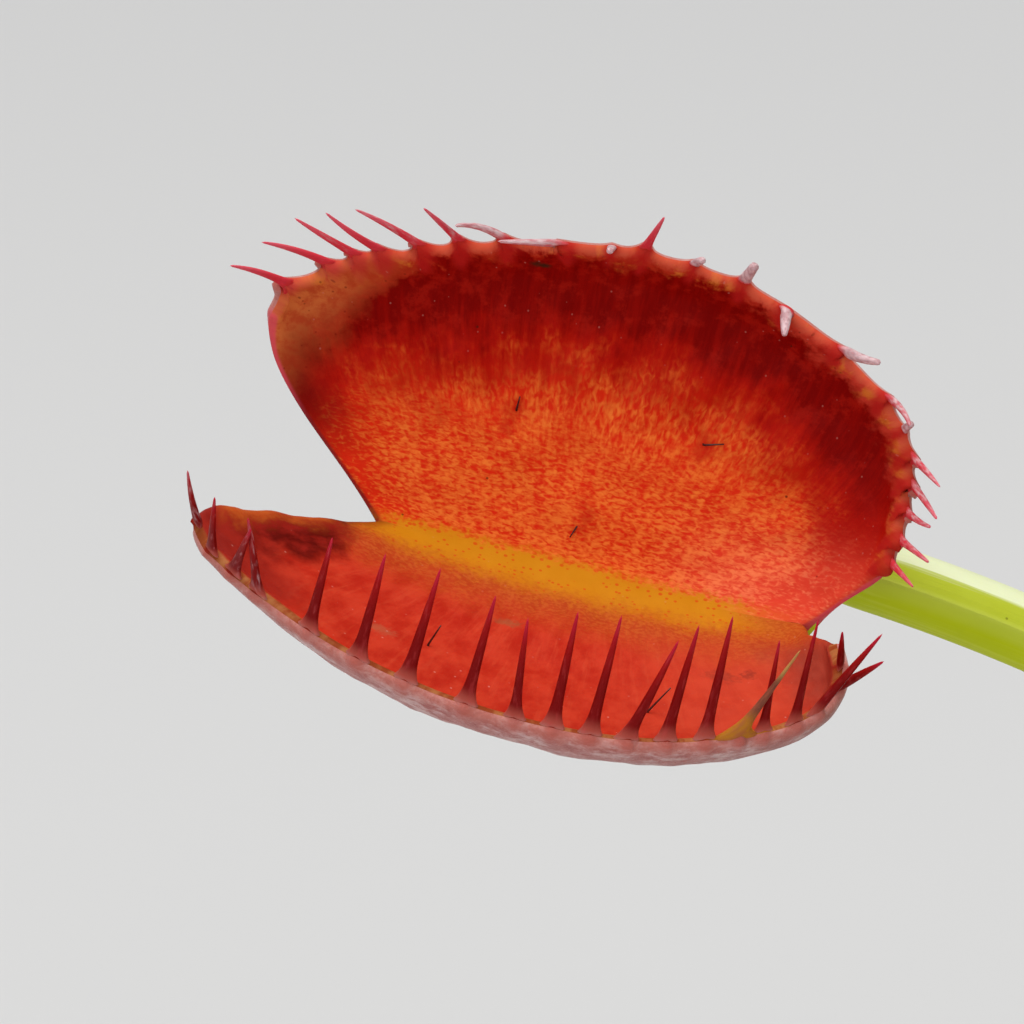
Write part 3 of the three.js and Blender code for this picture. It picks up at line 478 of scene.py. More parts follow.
def spine_finish():
    """Spines, read from their own attribute: the share of the length, the tone, 0 on the near lobe and 1 on the far
    one, and the frost with a painted highlight along each spine's upper side, which is -1 on the dead one."""
    f = Finish("spine", Specular_IOR_Level=0.06, Subsurface_Weight=0.12, Subsurface_Radius=(1.0, 0.15, 0.12),
               Subsurface_Scale=0.3 * MM)
    share, tone, frost = f.split(f.attribute("spine"))
    mottle = f.grain(f.attribute("skin"), 1.6, 3)
    # The near spines: a dark red shaft, partly their own deep red and partly painted shade of a shaft lit from behind,
    # and lighter magenta tips, painted light shining through them.
    near = f.mix(f.ramp(share, 0.35, 0.8), (0.19, 0.003, 0.003), (0.31, 0.005, 0.005))
    near = f.mix(f.ramp(share, 0.70, 1.0), near, (0.46, 0.012, 0.035))
    near = f.mix(f.ramp(share, 0.17, 0.0), near, (0.46, 0.085, 0.060))
    near = f.mix(f.ramp(share, 0.05, -0.03), near, (0.50, 0.20, 0.17))
    far = f.mix(f.ramp(share, 0.2, 1.0), (0.62, 0.036, 0.055), (0.70, 0.10, 0.14))
    far = f.mix(f.ramp(share, 0.14, -0.02, 0, 0.9), far, (0.60, 0.040, 0.040))
    colour = f.mix(tone, near, far)
    colour = f.mix(f.ramp(mottle, 0.5, 0.75, 0, 0.25), colour, (0.55, 0.06, 0.06))
    # Whitish frost, painted stronger on each spine's upper side as a painted highlight.
    frost_and_highlight = f.times(f.ramp(f.plus(frost, f.off(mottle, 1.0)), 0.25, 0.9), 0.93)
    frost_and_highlight = f.times(frost_and_highlight, f.ramp(share, -0.02, 0.2))
    colour = f.mix(frost_and_highlight, colour, f.mix(f.ramp(mottle, 0.35, 0.65), (0.44, 0.27, 0.28), (0.66, 0.50, 0.51)))
    dead = f.ramp(frost, -0.3, -0.8)
    brown = f.mix(f.ramp(share, 0.16, 0.36), (0.46, 0.17, 0.016), (0.19, 0.055, 0.032))
    brown = f.mix(f.ramp(share, 0.6, 0.8), brown, (0.44, 0.24, 0.07))
    colour = f.mix(dead, colour, f.mix(f.ramp(mottle, 0.4, 0.7, 0, 0.6), brown, (0.36, 0.09, 0.045)))
    return f.done(colour, f.between(mottle, 0.34, 0.55), mottle, 0.04, 0.5)


def hair_finish():
    """The trigger hairs: very dark red, paler where each bends at its foot."""
    f = Finish("trigger hair", Roughness=0.35, Specular_IOR_Level=0.4)
    share, _, _ = f.split(f.attribute("spine"))
    speck = f.grain(f.attribute("skin"), 3, 2)
    colour = f.mix(f.ramp(share, 0.25, 0.05), (0.045, 0.004, 0.003), (0.16, 0.008, 0.004))
    return f.done(f.wash(colour, speck, 0.4, (0.09, 0.01, 0.006)), None, speck, 0.01, 0.4)


def stalk_finish(name, fresh):
    """Leaf stalks, read from their own attribute: share of the length, place across and how far a face is the top."""
    f = Finish(name, Specular_IOR_Level=0.06, Subsurface_Weight=0.08, Subsurface_Radius=(0.6, 0.8, 0.15),
               Subsurface_Scale=0.8 * MM)
    share, across, top = f.split(f.attribute("stalk"))
    skin = f.attribute("skin")
    drift = f.streaks(skin, (0.35, 0.8, 1), 4)
    lines = f.streaks(skin, (0.12, 5.5, 1), 2)
    neck = f.ramp(share, 0.60, 0.80)
    leafy = f.mix(neck, (0.26, 0.33, 0.006), (0.41, 0.46, 0.020))
    leafy = f.mix(drift, leafy, (0.44, 0.50, 0.040))
    # The top of the neck is pale whitish green: partly its paler upper skin, partly a painted highlight from the light
    # above.
    pale = f.ramp(f.plus(across, f.off(lines, 0.25)), 0.50, 0.36)
    leafy = f.mix(f.times(neck, pale), leafy, f.mix(drift, (0.70, 0.75, 0.42), (0.76, 0.81, 0.54)))
    under = f.mix(drift, (0.45, 0.52, 0.001), (0.52, 0.59, 0.006))
    under = f.mix(f.ramp(lines, 0.46, 0.62, 0, 0.45), under, (0.58, 0.63, 0.05))
    colour = f.mix(top, under, leafy)
    edge = f.ramp(f.sum("ABSOLUTE", across, 0), 0.86, 1.0)
    colour = f.wash(colour, edge, 0.3, (0.56, 0.62, 0.12))
    foot = f.ramp(share, 0.16, 0.03)
    colour = f.mix(foot, colour, f.mix(drift, (0.72, 0.72, 0.42), (0.74, 0.60, 0.46)))
    colour = f.mix(fresh, colour, (0.52, 0.62, 0.12))
    spots = f.dots(f.stretch(skin, (1, 1.4, 1)), 0.8, 0.07)
    colour = f.wash(colour, spots, 0.6, (0.12, 0.11, 0.01))
    relief = f.plus(lines, f.times(f.grain(skin, 2.4, 3), 0.4))
    return f.done(colour, f.between(drift, 0.36, 0.52), relief, 0.06, 0.6)


def crown_finish():
    f = Finish("pale leaf base", Roughness=0.45, Specular_IOR_Level=0.3, Subsurface_Weight=0.15,
               Subsurface_Radius=(0.8, 0.8, 0.4), Subsurface_Scale=1.0 * MM)
    _, up, _ = f.split(f.attribute("scale"))
    drift = f.grain(f.place(), 260, 4)
    colour = f.mix(f.ramp(f.plus(up, f.times(drift, 0.3)), 0.25, 0.95), (0.70, 0.66, 0.47), (0.46, 0.54, 0.12))
    colour = f.mix(f.ramp(drift, 0.5, 0.7, 0, 0.5), colour, (0.62, 0.27, 0.20))
    return f.done(colour, None, f.grain(f.place(), 900, 3), 0.08, 0.6)


def soil_finish(name, dark, light):
    f = Finish(name, Specular_IOR_Level=0.2)
    coarse = f.grain(f.place(), 420, 5, 0.7)
    fine = f.grain(f.place(), 1800, 4, 0.7)
    colour = f.mix(f.ramp(coarse, 0.35, 0.7), dark, light)
    colour = f.wash(colour, fine, 0.5, tuple(0.35 * c for c in dark))
    return f.done(colour, f.between(coarse, 0.8, 1.0), f.plus(coarse, f.times(fine, 0.6)), 0.5, 0.9)


def pot_finish():
    """Dark moulded plastic with fine scuffs, a dusty rim and dried water marks lower down."""
    f = Finish("pot plastic", Specular_IOR_Level=0.4)
    place = f.place()
    _, _, height = f.split(place)
    drift = f.grain(place, 45, 4)
    scuffs = f.streaks(place, (900, 900, 60), 3)
    marks = f.ramp(f.streaks(place, (70, 70, 28), 5, 0.65), 0.56, 0.72)
    colour = f.mix(drift, (0.030, 0.032, 0.031), (0.052, 0.054, 0.052))
    dust = f.times(f.ramp(height, 62 * MM, 76 * MM), f.ramp(f.grain(place, 300, 5, 0.7), 0.4, 0.7))
    colour = f.wash(colour, dust, 0.35, (0.20, 0.17, 0.13))
    colour = f.mix(f.times(marks, f.ramp(height, 40 * MM, 6 * MM, 0.03, 0.22)), colour, (0.30, 0.29, 0.26))
    rough = f.plus(f.between(scuffs, 0.36, 0.6), f.times(marks, 0.15))
    return f.done(colour, rough, f.plus(f.times(scuffs, 0.4), f.grain(place, 1500, 2)), 0.05, 0.5)


def floor_finish():
    f = Finish("pale floor", Roughness=0.75, Specular_IOR_Level=0.2)
    f.put("Base Color", f.mix(f.grain(f.place(), 3, 4), (0.66, 0.658, 0.65), (0.71, 0.708, 0.70)))
    return f.material


# ---------------------------------------------------------------- making pieces
def piece(bm, name, node, slot, *materials):
    """Turns a bmesh in millimetres into a finished piece that stands for one CAD node."""
    bmesh.ops.scale(bm, vec=(MM, MM, MM), verts=bm.verts)
    mesh = bpy.data.meshes.new(name)
    for face in bm.faces:
        face.smooth = True
    bm.to_mesh(mesh)
    bm.free()
    for material in materials:
        mesh.materials.append(material)
    made = bpy.data.objects.new(name, mesh)
    bpy.context.scene.collection.objects.link(made)
    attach(made, "root")
    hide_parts(node)
    return made


def rolled(bm, steps, sides, place, marks=()):
    """A sheet rolled into a tube. place(share, turn) gives a point and then the value of each attribute in marks."""
    for vert in bmesh.ops.create_grid(bm, x_segments=steps, y_segments=sides, size=0.5)["verts"]:
        at, *values = place(vert.co.x + 0.5, vert.co.y + 0.5)
        for layer, value in zip(marks, values):
            vert[layer] = value
        vert.co = at


def close_up(bm):
    """Welds the seams of rolled sheets and fills their open ends."""
    bmesh.ops.remove_doubles(bm, verts=bm.verts, dist=2e-4)
    bmesh.ops.holes_fill(bm, edges=[edge for edge in bm.edges if edge.is_boundary], sides=0)
    bmesh.ops.recalc_face_normals(bm, faces=bm.faces)


# ---------------------------------------------------------------- trap
def rim_spline(steps=60):
    """The rim of a flattened lobe, as points evenly spread along its length."""
    fine = []
    last = len(RIM) - 1
    for span in range(last):
        p0, p1, p2, p3 = (Vector(RIM[clamp(span + k, 0, last)]) for k in (-1, 0, 1, 2))
        out, back = (p2 - p0) / 2, (p3 - p1) / 2
        for k in range(steps):
            t = k / steps
            fine.append(
                (2 * p1 - 2 * p2 + out + back) * t**3 + (3 * p2 - 3 * p1 - 2 * out - back) * t**2 + out * t + p1
            )
    fine.append(Vector(RIM[last]))
    run = [0.0]
    for a, b in zip(fine, fine[1:]):
        run.append(run[-1] + (b - a).length)
    return fine, run


RIM_POINTS, RIM_RUN = rim_spline()
RIM_LENGTH = RIM_RUN[-1]


def rim_point(share):
    target = share * RIM_LENGTH
    low, high = 0, len(RIM_RUN) - 1
    while high - low > 1:
        middle = (low + high) // 2
        low, high = (middle, high) if RIM_RUN[middle] <= target else (low, middle)
    part = clamp((target - RIM_RUN[low]) / (RIM_RUN[high] - RIM_RUN[low]))
    return RIM_POINTS[low].lerp(RIM_POINTS[high], part)


class Line:
    """One line of a lobe from the hinge to the rim. side is 1 for the near lobe, -1 for the far one."""

    parts = 96

    def __init__(self, lobe, side, along):
        ends = lobe["stalk"] if along < 0 else lobe["tip"]
        to_end = abs(along) ** END_POWER
        hinge_lean, face_lean, lip_lean = (lerp(m, e, to_end) for m, e in zip(lobe["middle"], ends))
        bulge = lerp(*lobe["bulge"], (along + 1) / 2)
        rim = rim_point((along + 1) / 2)
        hinge = along * HINGE_HALF
        self.side, self.height = side, rim.y
        self.length = math.hypot(rim.x - hinge, rim.y)
        lip_start = 1 - LIP / self.length
        step = rim.y / self.parts
        y, z = 0.0, -HINGE_SAG * (1 - along * along)
        self.points = []
        for k in range(self.parts + 1):
            t = k / self.parts
            x = lerp(hinge, rim.x, t + bulge * t * t * (1 - t)) + lobe["sweep"] * t
            self.points.append(Vector((x, side * y, z)))
            middle = t + 0.5 / self.parts
            lean = lerp(lerp(hinge_lean, face_lean, middle), lip_lean, smooth(middle, lip_start, 1))
            y += math.sin(math.radians(lean)) * step
            z += math.cos(math.radians(lean)) * step

    def at(self, t):
        place = clamp(t) * self.parts
        k = min(int(place), self.parts - 1)
        return self.points[k].lerp(self.points[k + 1], place - k)

    def outward(self):
        return (self.points[-1] - self.at(0.8)).normalized()


def spine_headings(side, rows):
    """Each spine's row with its direction in the trap's own axes."""
    made = []
    for row in rows:
        over, forward = math.radians(row[2]), math.radians(row[3])
        up = math.cos(forward)
        made.append((row, Vector((math.sin(forward), -side * math.sin(over) * up, math.cos(over) * up))))
    return made


def even_row(lobe, count, draws):
    """A young trap's even row of spines, fanned out towards both ends."""
    rows = []
    for n in range(count):
        along = 0.96 * (2 * n / (count - 1) - 1)
        ends = lobe["stalk"] if along < 0 else lobe["tip"]
        lip = lerp(lobe["middle"][2], ends[2], abs(along) ** END_POWER)
        length = SPINE_LENGTH * (1 - 0.4 * abs(along) ** 3) * (0.9 + 0.2 * next(draws))
        rows.append((along, length, 10 * next(draws) - lip, SPINE_FAN * along, 0, 1, 0.1, 0))
    return rows


# How a rim is drawn out into the feet of its spines: how tall a foot is, how far it spreads along the rim, where in
# its height the spine itself starts, how far the rim hangs in between two feet, and how much lower its ends are. Then
# how far the rounded margins reach out over the source's, at the stalk's end and at the tip.
PLAIN_RIM = {
    "tall": 0.5, "reach": 0.42, "start": 0.3, "hang": 0.16, "low_ends": 0, "low_stalk_end": 0,
    "margin_out": (-0.1, -0.1),
}
NEAR_RIM = {**PLAIN_RIM, "margin_out": (-1.15, 0.22)}
FAR_RIM = {
    "tall": 1.15, "reach": 0.36, "start": 0.6, "hang": 0.22, "low_ends": 0.45, "low_stalk_end": 0.4,
    "margin_out": (-0.35, 0.22),
}
MARGIN_FROM = 0.62  # the place along the lobe from which its margin is moved
FOOT_DEPTH = 1.5  # how far down the lobe the feet are felt


def lobe_on(trap, side):
    """The trap's near lobe for side 1 and its far one for -1."""
    return trap["near"] if side > 0 else trap["far"]


class RimPlace:
    """One line of a lobe with the three directions at its end: outwards, along the rim and square to the skin."""

    def __init__(self, lobe, side, along):
        self.line, self.along = Line(lobe, side, along), along
        self.form = NEAR_RIM if lobe is WIDE_NEAR else FAR_RIM if lobe is WIDE_FAR else PLAIN_RIM
        low = self.form["hang"] + self.form["low_ends"] * smooth(abs(along), 0.2, 0.6)
        low += self.form["low_stalk_end"] * smooth(-along, 0.55, 0.8)
        self.top = 1 - low / self.line.length
        before, after = (Line(lobe, side, clamp(along + step, -1, 1)).points[-1] for step in (-0.01, 0.01))
        self.out = self.line.outward()
        self.run = (after - before).normalized()
        self.normal = self.out.cross(self.run).normalized()
        margin = self.form["margin_out"][along > 0]
        self.shift = Vector((margin * along * smooth(abs(along), MARGIN_FROM, 1), 0, 0))

    def pull(self, headings):
        """How far the rim is drawn out here, into the feet of its spines, and how near a foot this is."""
        form, pull, foot = self.form, Vector(), 0.0
        for row, heading in headings:
            gap = abs(self.along - row[0]) * RIM_LENGTH / 2
            if gap < 5 * form["reach"]:
                tall = form["tall"] * clamp(row[1] / 4.0, 0.45, 1.1) * min(row[5], 1.2)
                near = math.exp(-math.sqrt(gap * gap + 0.004) / form["reach"])
                pull = pull + (heading - self.normal * heading.dot(self.normal)) * (tall * near)
                foot = max(foot, near * min(row[1] / 2, 1))
        return pull, foot


HINGE_ROUND, HINGE_LIFT = 1.9, 0.46  # the hinge is rounded within this distance of it, and so raised by this much
RIM_HALF = 14.8  # half the length of a lobe over its rim
FIBRE_RUN, FIBRE_RISE = 12, 14  # how far the fibres' own places run along half a lobe, and from the hinge to the rim
SHEET_HALF = 0.34, 0.4  # half the sheet's thickness, in the lobe and near its rim
# The sheet's unevenness: grains to a millimetre, height, and the place in the noise.
RIPPLES = (0.45, 0.22, 3), (1.3, 0.06, 7)


def foot_share(to_rim):
    """How much of the rim's pull is felt at this distance from it."""
    return smooth(to_rim, FOOT_DEPTH, 0) ** 1.6


def new_marks(bm, *names):
    """The layers that carry a piece's own places to its finish."""
    return [bm.verts.layers.float_vector.new(name) for name in names]


def trap_sheet(trap, columns, rows, headings, wave):
    """Both lobes as one sheet with its real thickness, a rounded edge and a keel under the hinge."""
    bm = bmesh.new()
    flat, zone, fibre, skirt = new_marks(bm, "flat", "zone", "fibre", "skirt")
    key = bm.verts.layers.int.new("key")
    sheet = bmesh.ops.create_grid(bm, x_segments=columns, y_segments=2 * rows, size=1)["verts"]
    lines, half_at = {}, {}
    for number, vert in enumerate(sheet):
        along, side = vert.co.x, (1 if vert.co.y >= 0 else -1)
        t = 1 - (1 - abs(vert.co.y)) ** 1.25
        lobe = lobe_on(trap, side)
        found = (round(along, 5), side)
        if found not in lines:
            rim = RimPlace(lobe, side, along)
            lines[found] = (rim, rim.pull(headings[side]))
        rim, (pull, foot) = lines[found]
        line = rim.line
        to_rim, t = (1 - t) * line.length * rim.top, t * rim.top
        to_hinge = t * line.height
        to_margin = (1 - abs(along)) * lerp(HINGE_HALF, RIM_HALF, t)
        drawn = foot_share(to_rim)
        point = line.at(t) + pull * drawn
        point.z += HINGE_LIFT * (1 - min(to_hinge / HINGE_ROUND, 1)) ** 2
        point += rim.shift * smooth(t, 0, 0.5)
        x = line.at(t).x
        vert[flat] = (x, side * to_hinge, along)
        vert[zone] = (to_rim, to_hinge, to_margin)
        stain = smooth(to_rim, 1.7, 0.1) if lobe is WIDE_FAR else drawn
        vert[fibre] = (along * FIBRE_RUN, side * t * FIBRE_RISE, foot * stain)
        vert[skirt] = (along * RIM_LENGTH / 2, to_rim - drawn * pull.dot(rim.out), 0)
        vert[key] = number
        vert.co = point
        ripple = sum(
            noise.noise((x * grains, side * to_hinge * grains + wave, place)) * height
            for grains, height, place in RIPPLES
        )
        edge = min(to_rim, to_margin)
        half = lerp(*SHEET_HALF, smooth(to_rim, 2.4, 0.4)) * max(round_end(edge, 0.5), 0.2)
        ripple *= smooth(to_hinge, 0, 2) * smooth(to_rim, 0.2, 2.6)
        half_at[number] = (half, ripple, KEEL * (1 - (along + 1) / 2) * math.exp(-(to_hinge / 1.1) ** 2))
    bmesh.ops.recalc_face_normals(bm, faces=bm.faces)
    bm.normal_update()
    into = 1 if sum(vert.normal.z for vert in sheet) > 0 else -1
    normals = {vert[key]: vert.normal * into for vert in bm.verts}
    made = bmesh.ops.extrude_face_region(bm, geom=bm.faces[:], use_keep_orig=True)["geom"]
    inner = {item for item in made if isinstance(item, bmesh.types.BMVert)}
    for vert in bm.verts:
        half, ripple, keel = half_at[vert[key]]
        away = half + ripple if vert in inner else -half - keel + ripple
        vert.co += normals[vert[key]] * away
    for face in bm.faces:
        if any(vert in inner for vert in face.verts):
            face.material_index = 0 if sum(vert[flat].y for vert in face.verts) > 0 else 1
        else:
            face.material_index = 2
    bmesh.ops.recalc_face_normals(bm, faces=bm.faces)
    bm.verts.layers.int.remove(key)
    return bm


def spine_tube(bm, marks, path, widths, facing, tone, frost, steps, sides, seed, root=None):
    """A curved tapering tube. path(share) is its centre; widths(share) gives half its width, half its
    thickness and the share of its free length. Its foot lies along the root direction."""
    def place(share, turn):
        centre = path(share)
        ahead = (path(min(share + 0.02, 1)) - path(max(share - 0.02, 0))).normalized()
        side = ahead.cross(facing).normalized()
        over = side.cross(ahead)
        wide, thick, free = widths(share)
        if root:
            along = root if root.dot(side) > 0 else -root
            side = along.lerp(side, smooth(free, -0.02, 0.22)).normalized()
        angle = 2 * math.pi * turn
        at = centre + side * (wide * math.cos(angle)) + over * (thick * math.sin(angle))
        outward = side * math.cos(angle) + over * math.sin(angle)
        # The frost is painted stronger on each spine's upper side and fainter beneath, a painted highlight from the
        # light above; the most frosted spines stay even all round.
        upper = lerp(0.6 + 0.4 * outward.z, 1, smooth(frost, 0.7, 0.9))
        frost_and_highlight = frost if frost < 0 else frost * upper
        return at, (free, tone, frost_and_highlight), (share * 5 + seed, math.cos(angle) * 0.6, math.sin(angle) * 0.6)

    rolled(bm, steps, sides, place, marks)


def spine_path(inside, foot, heading, over, length, curl, sway):
    """The centre line of a spine: from inside the lip, through the end of its foot, then bent by its curl."""
    axis = heading.cross(over).normalized()
    points = [inside, foot]
    parts = 14
    for k in range(parts):
        u = (k + 0.5) / parts
        turned = Matrix.Rotation(math.radians(curl * (0.25 + u) + sway * (u - 0.4)), 3, axis) @ heading
        points.append(points[-1] + turned * (length / parts))
    run = [0.0]
    for a, b in zip(points, points[1:]):
        run.append(run[-1] + (b - a).length)

    def path(share):
        target = share * run[-1]
        k = max(i for i, s in enumerate(run[:-1]) if s <= target)
        return points[k].lerp(points[k + 1], clamp((target - run[k]) / (run[k + 1] - run[k])))

    return path


SPINE_BODY, SPINE_FLARE, FLARE_HEIGHT = 0.235, 0.36, 0.45
FAR_BODY, FAR_FLARE, DEAD_FLARE = 0.74, 0.4, 2.2  # against the long leaf's near spines
SPINE_REACH = 1.05  # the fine points are this much longer than the source's blunt ones


def spines(trap, headings, steps, sides, seed):
    """Both rows of marginal spines of one trap."""
    bm = bmesh.new()
    marks = new_marks(bm, "spine", "skin")
    draws = random.Random(seed)
    for side in (1, -1):
        lobe = lobe_on(trap, side)
        for (along, length, _, _, curl, stout, frost, blunt), heading in headings[side]:
            rim = RimPlace(lobe, side, along)
            line, (pull, _) = rim.line, rim.pull(headings[side])
            start = rim.form["start"]
            shift = rim.shift if along < 0 else Vector()
            foot = line.at(rim.top) + pull * start + shift
            inside = line.at(rim.top - SPINE_SUNK / line.length) + pull * foot_share(SPINE_SUNK) + shift
            buried = (foot - inside).length
            left = max(length - start * pull.length, 0.3)
            sway = draws.uniform(-12, 14) if length > 3.5 else 0
            reach = left * (SPINE_REACH if trap["size"] == 1 else 0.97)
            path = spine_path(inside, foot, heading, Vector((0, -side, 0)), reach, curl, sway)
            body = SPINE_BODY * stout * (1 if side > 0 or trap["size"] < 1 else FAR_BODY)
            flare = SPINE_FLARE * min(length / 3.5, 1)
            flare *= DEAD_FLARE if frost < 0 else FAR_FLARE if lobe is WIDE_FAR else 1
            tip = lerp(0.04, 0.85 * body, blunt)
            taper = 0.8 if frost < 0 else 2.2

            def widths(share, tip=tip, body=body, flare=flare, buried=buried, left=left, taper=taper):
                """A shaft that tapers late, on a foot that spreads along the rim."""
                beyond = share * (buried + left) - buried
                free = clamp(beyond / left)
                shaft = lerp(body, tip, free ** taper) * (round_end(1 - free, 0.035) if free > 0.965 else 1)
                spread = flare * math.exp(-max(beyond, 0) / FLARE_HEIGHT)
                deep = smooth(beyond, -buried, 0.1)
                thick = (shaft * 0.9 + 0.06 * spread) * lerp(0.3, 1, smooth(beyond, -0.8 * buried, 0.45))
                return (shaft + spread) * lerp(0.95, 1, deep), thick, beyond / left

            tone = (0.0 if side > 0 else 1.0) if trap["size"] == 1 else 0.5
            turned = draws.uniform(0, 40)
            spine_tube(bm, marks, path, widths, rim.normal, tone, frost, steps, sides, turned, rim.run)
    close_up(bm)
    return bm


# Trigger hairs: lobe, place along the hinge, share of the way to the rim, length, and the way each leans.
TRIGGER_HAIRS = [
    (-1, 0.353, 0.455, 0.8, (-0.04, -0.64, 0.77)), (-1, -0.188, 0.485, 1.0, (-0.94, -0.17, 0.3)),
    (-1, 0.094, 0.2, 1.25, (0.32, 0.92, -0.22)), (1, 0.371, 0.56, 1.15, (-0.34, -0.71, 0.61)),
    (1, -0.228, 0.61, 1.6, (-0.50, -0.69, 0.52)), (1, -0.113, 0.42, 0.9, (-0.10, -0.4, 0.85)),
]


def trigger_hairs(trap):
    bm = bmesh.new()
    marks = new_marks(bm, "spine", "skin")
    for number, (side, along, share, length, lean) in enumerate(TRIGGER_HAIRS):
        line = Line(lobe_on(trap, side), side, along)
        root = line.at(share)
        start = Vector((0, -side, 1)).normalized()
        heading = Vector(lean).normalized()
        knee = root + start * 0.3
        points = [root - start * 0.1, root + start * 0.18, knee + heading * 0.1, knee + heading * length]

        def path(s, points=points):
            k = min(int(s * 3), 2)
            return points[k].lerp(points[k + 1], s * 3 - k)

        def widths(s):
            wide = lerp(0.1, 0.03, s) + 0.045 * math.exp(-(((s - 0.2) / 0.12) ** 2))
            return wide, 0.86 * wide, s

        spine_tube(bm, marks, path, widths, Vector((0.3, 1, 0.2)), 0, 0, 12, 7, number)
    close_up(bm)
    return bm


# ---------------------------------------------------------------- stalk
def trap_axes(entry):
    """The trap's own axes: along its hinge, towards its near lobe, and out of its mouth."""
    trap = entry["trap"]
    heading = math.radians(entry["azimuth"] + entry["bend"] + trap["turn"])
    pitch = math.radians(trap["pitch"])
    forward = Vector((math.cos(heading) * math.cos(pitch), math.sin(heading) * math.cos(pitch), math.sin(pitch)))
    left = UP.cross(forward).normalized()
    mouth = Matrix.Rotation(math.radians(-trap["roll"]), 3, forward) @ forward.cross(left)
    return Matrix((forward, mouth.cross(forward), mouth)).transposed()


def bezier(points, t):
    a, b, c, d = points
    return a * (1 - t) ** 3 + b * (3 * t * (1 - t) ** 2) + c * (3 * t * t * (1 - t)) + d * t**3


def stalk_line(entry, axes):
    """Points of the stalk's centre line, each with its heading, its sideways direction and its share of the length."""
    azimuth = math.radians(entry["azimuth"])
    outward = Vector((*around(1, azimuth), 0))
    sideways = UP.cross(outward)
    steps = 40
    point = outward * entry["from"] + UP * entry["foot"]
    points = [point.copy()]
    for k in range(steps):
        t = (k + 0.5) / steps
        rise = math.radians(lerp(*entry["rise"], t))
        yaw = math.radians(entry["bend"] * t)
        heading = (outward * math.cos(yaw) + sideways * math.sin(yaw)) * math.cos(rise) + UP * math.sin(rise)
        point = point + heading * (entry["length"] / steps)
        points.append(point.copy())
    into = (axes @ Vector(entry["joint"]["heading"])).normalized()
    if entry["neck"]:
        end = point + outward * entry["neck"][0] + sideways * entry["neck"][1] + UP * entry["neck"][2]
    else:
        end = point + (heading + into).normalized() * (4 * entry["trap"]["size"])
    pull = 0.45 * (end - point).length
    curve = (point, point + heading * pull, end - into * pull, end)
    count = 14 if entry["neck"] else 6
    points += [bezier(curve, (k + 1) / count) for k in range(count)]
    across = sideways.copy()
    run, line = 0.0, []
    for k, here in enumerate(points):
        before = points[max(k - 1, 0)]
        heading = (points[min(k + 1, len(points) - 1)] - before).normalized()
        across = (across - heading * across.dot(heading)).normalized()
        run += (here - before).length
        line.append([here, heading, across.copy(), run])
    return [(here, heading, across, at / run) for here, heading, across, at in line], run


def along_line(line, share):
    """The centre line at any share of its length, smoothly between its points."""
    place = clamp(share) * (len(line) - 1)
    k = min(int(place), len(line) - 2)
    t = place - k
    (p, h, a, s), (q, g, b, r) = line[k], line[k + 1]
    bulge = (h - g) * ((q - p).length * t * (1 - t) / 2)
    return p.lerp(q, t) + bulge, h.lerp(g, t).normalized(), a.lerp(b, t).normalized(), lerp(s, r, t)


STALK_WING = 0.5
LONG_BLADE_END = 0.68  # the finish takes every blade to end at this share of the length, as the long leaf's does


def stalk_skin(entry, line, run, steps, sides, reach_in):
    """One stalk: a shallow channel on top, a rib beneath, thin raised margins, and a neck that runs into the trap."""
    bm = bmesh.new()
    marks = new_marks(bm, "stalk", "skin")
    seed = float(entry["azimuth"])
    last = line[-1]
    extra = reach_in / run

    def place(u, turn):
        s = u * (1 + extra)
        centre, heading, across, share = along_line(line, s)
        if s > 1:
            centre = last[0] + last[1] * ((s - 1) * run)
            share = 1
        over = heading.cross(across)
        swell = math.sin(math.pi * clamp(share / entry["blade_end"]))
        taper = lerp(1, entry["neck_share"], smooth(share, entry["taper_from"], 1))
        half = lerp(lerp(entry["foot_half"], entry["stalk_half"], share), entry["blade"], swell**1.4) * taper
        rib, wing = entry["rib"] * taper, STALK_WING * taper
        margin = BLADE_LIFT * half * swell
        top = turn < 0.5
        p = 4 * turn - 1 if top else 3 - 4 * turn
        p = math.sin(p * math.pi / 2) if abs(p) < 1 else p
        wave = 0.5 * swell * noise.noise((share * run * 0.16, seed, 2 if p > 0 else 5)) * abs(p) ** 3
        z = margin * abs(p) ** 1.35 + wave
        thick = wing + (rib - wing) * math.exp(-((p * half / (1.7 * taper)) ** 2))
        lip = math.sqrt(max(1 - abs(p) ** 5, 0))
        z += (0.28 * rib * (1 - swell) * (1 - p * p)) if top else -thick * lip
        dent = -0.16 * swell * math.exp(-((p * half / 0.55) ** 2)) if top else 0
        at = centre + across * (p * half) + over * (z + dent + rib / 2)
        face = smooth(z - margin * abs(p) ** 1.35, -0.35, -0.05)
        shade = share * LONG_BLADE_END / entry["blade_end"]
        return at, (shade, p, face), (share * run + seed, p * half, 3.0 if top else 0.0)

    rolled(bm, steps, sides, place, marks)
    close_up(bm)
    return bm


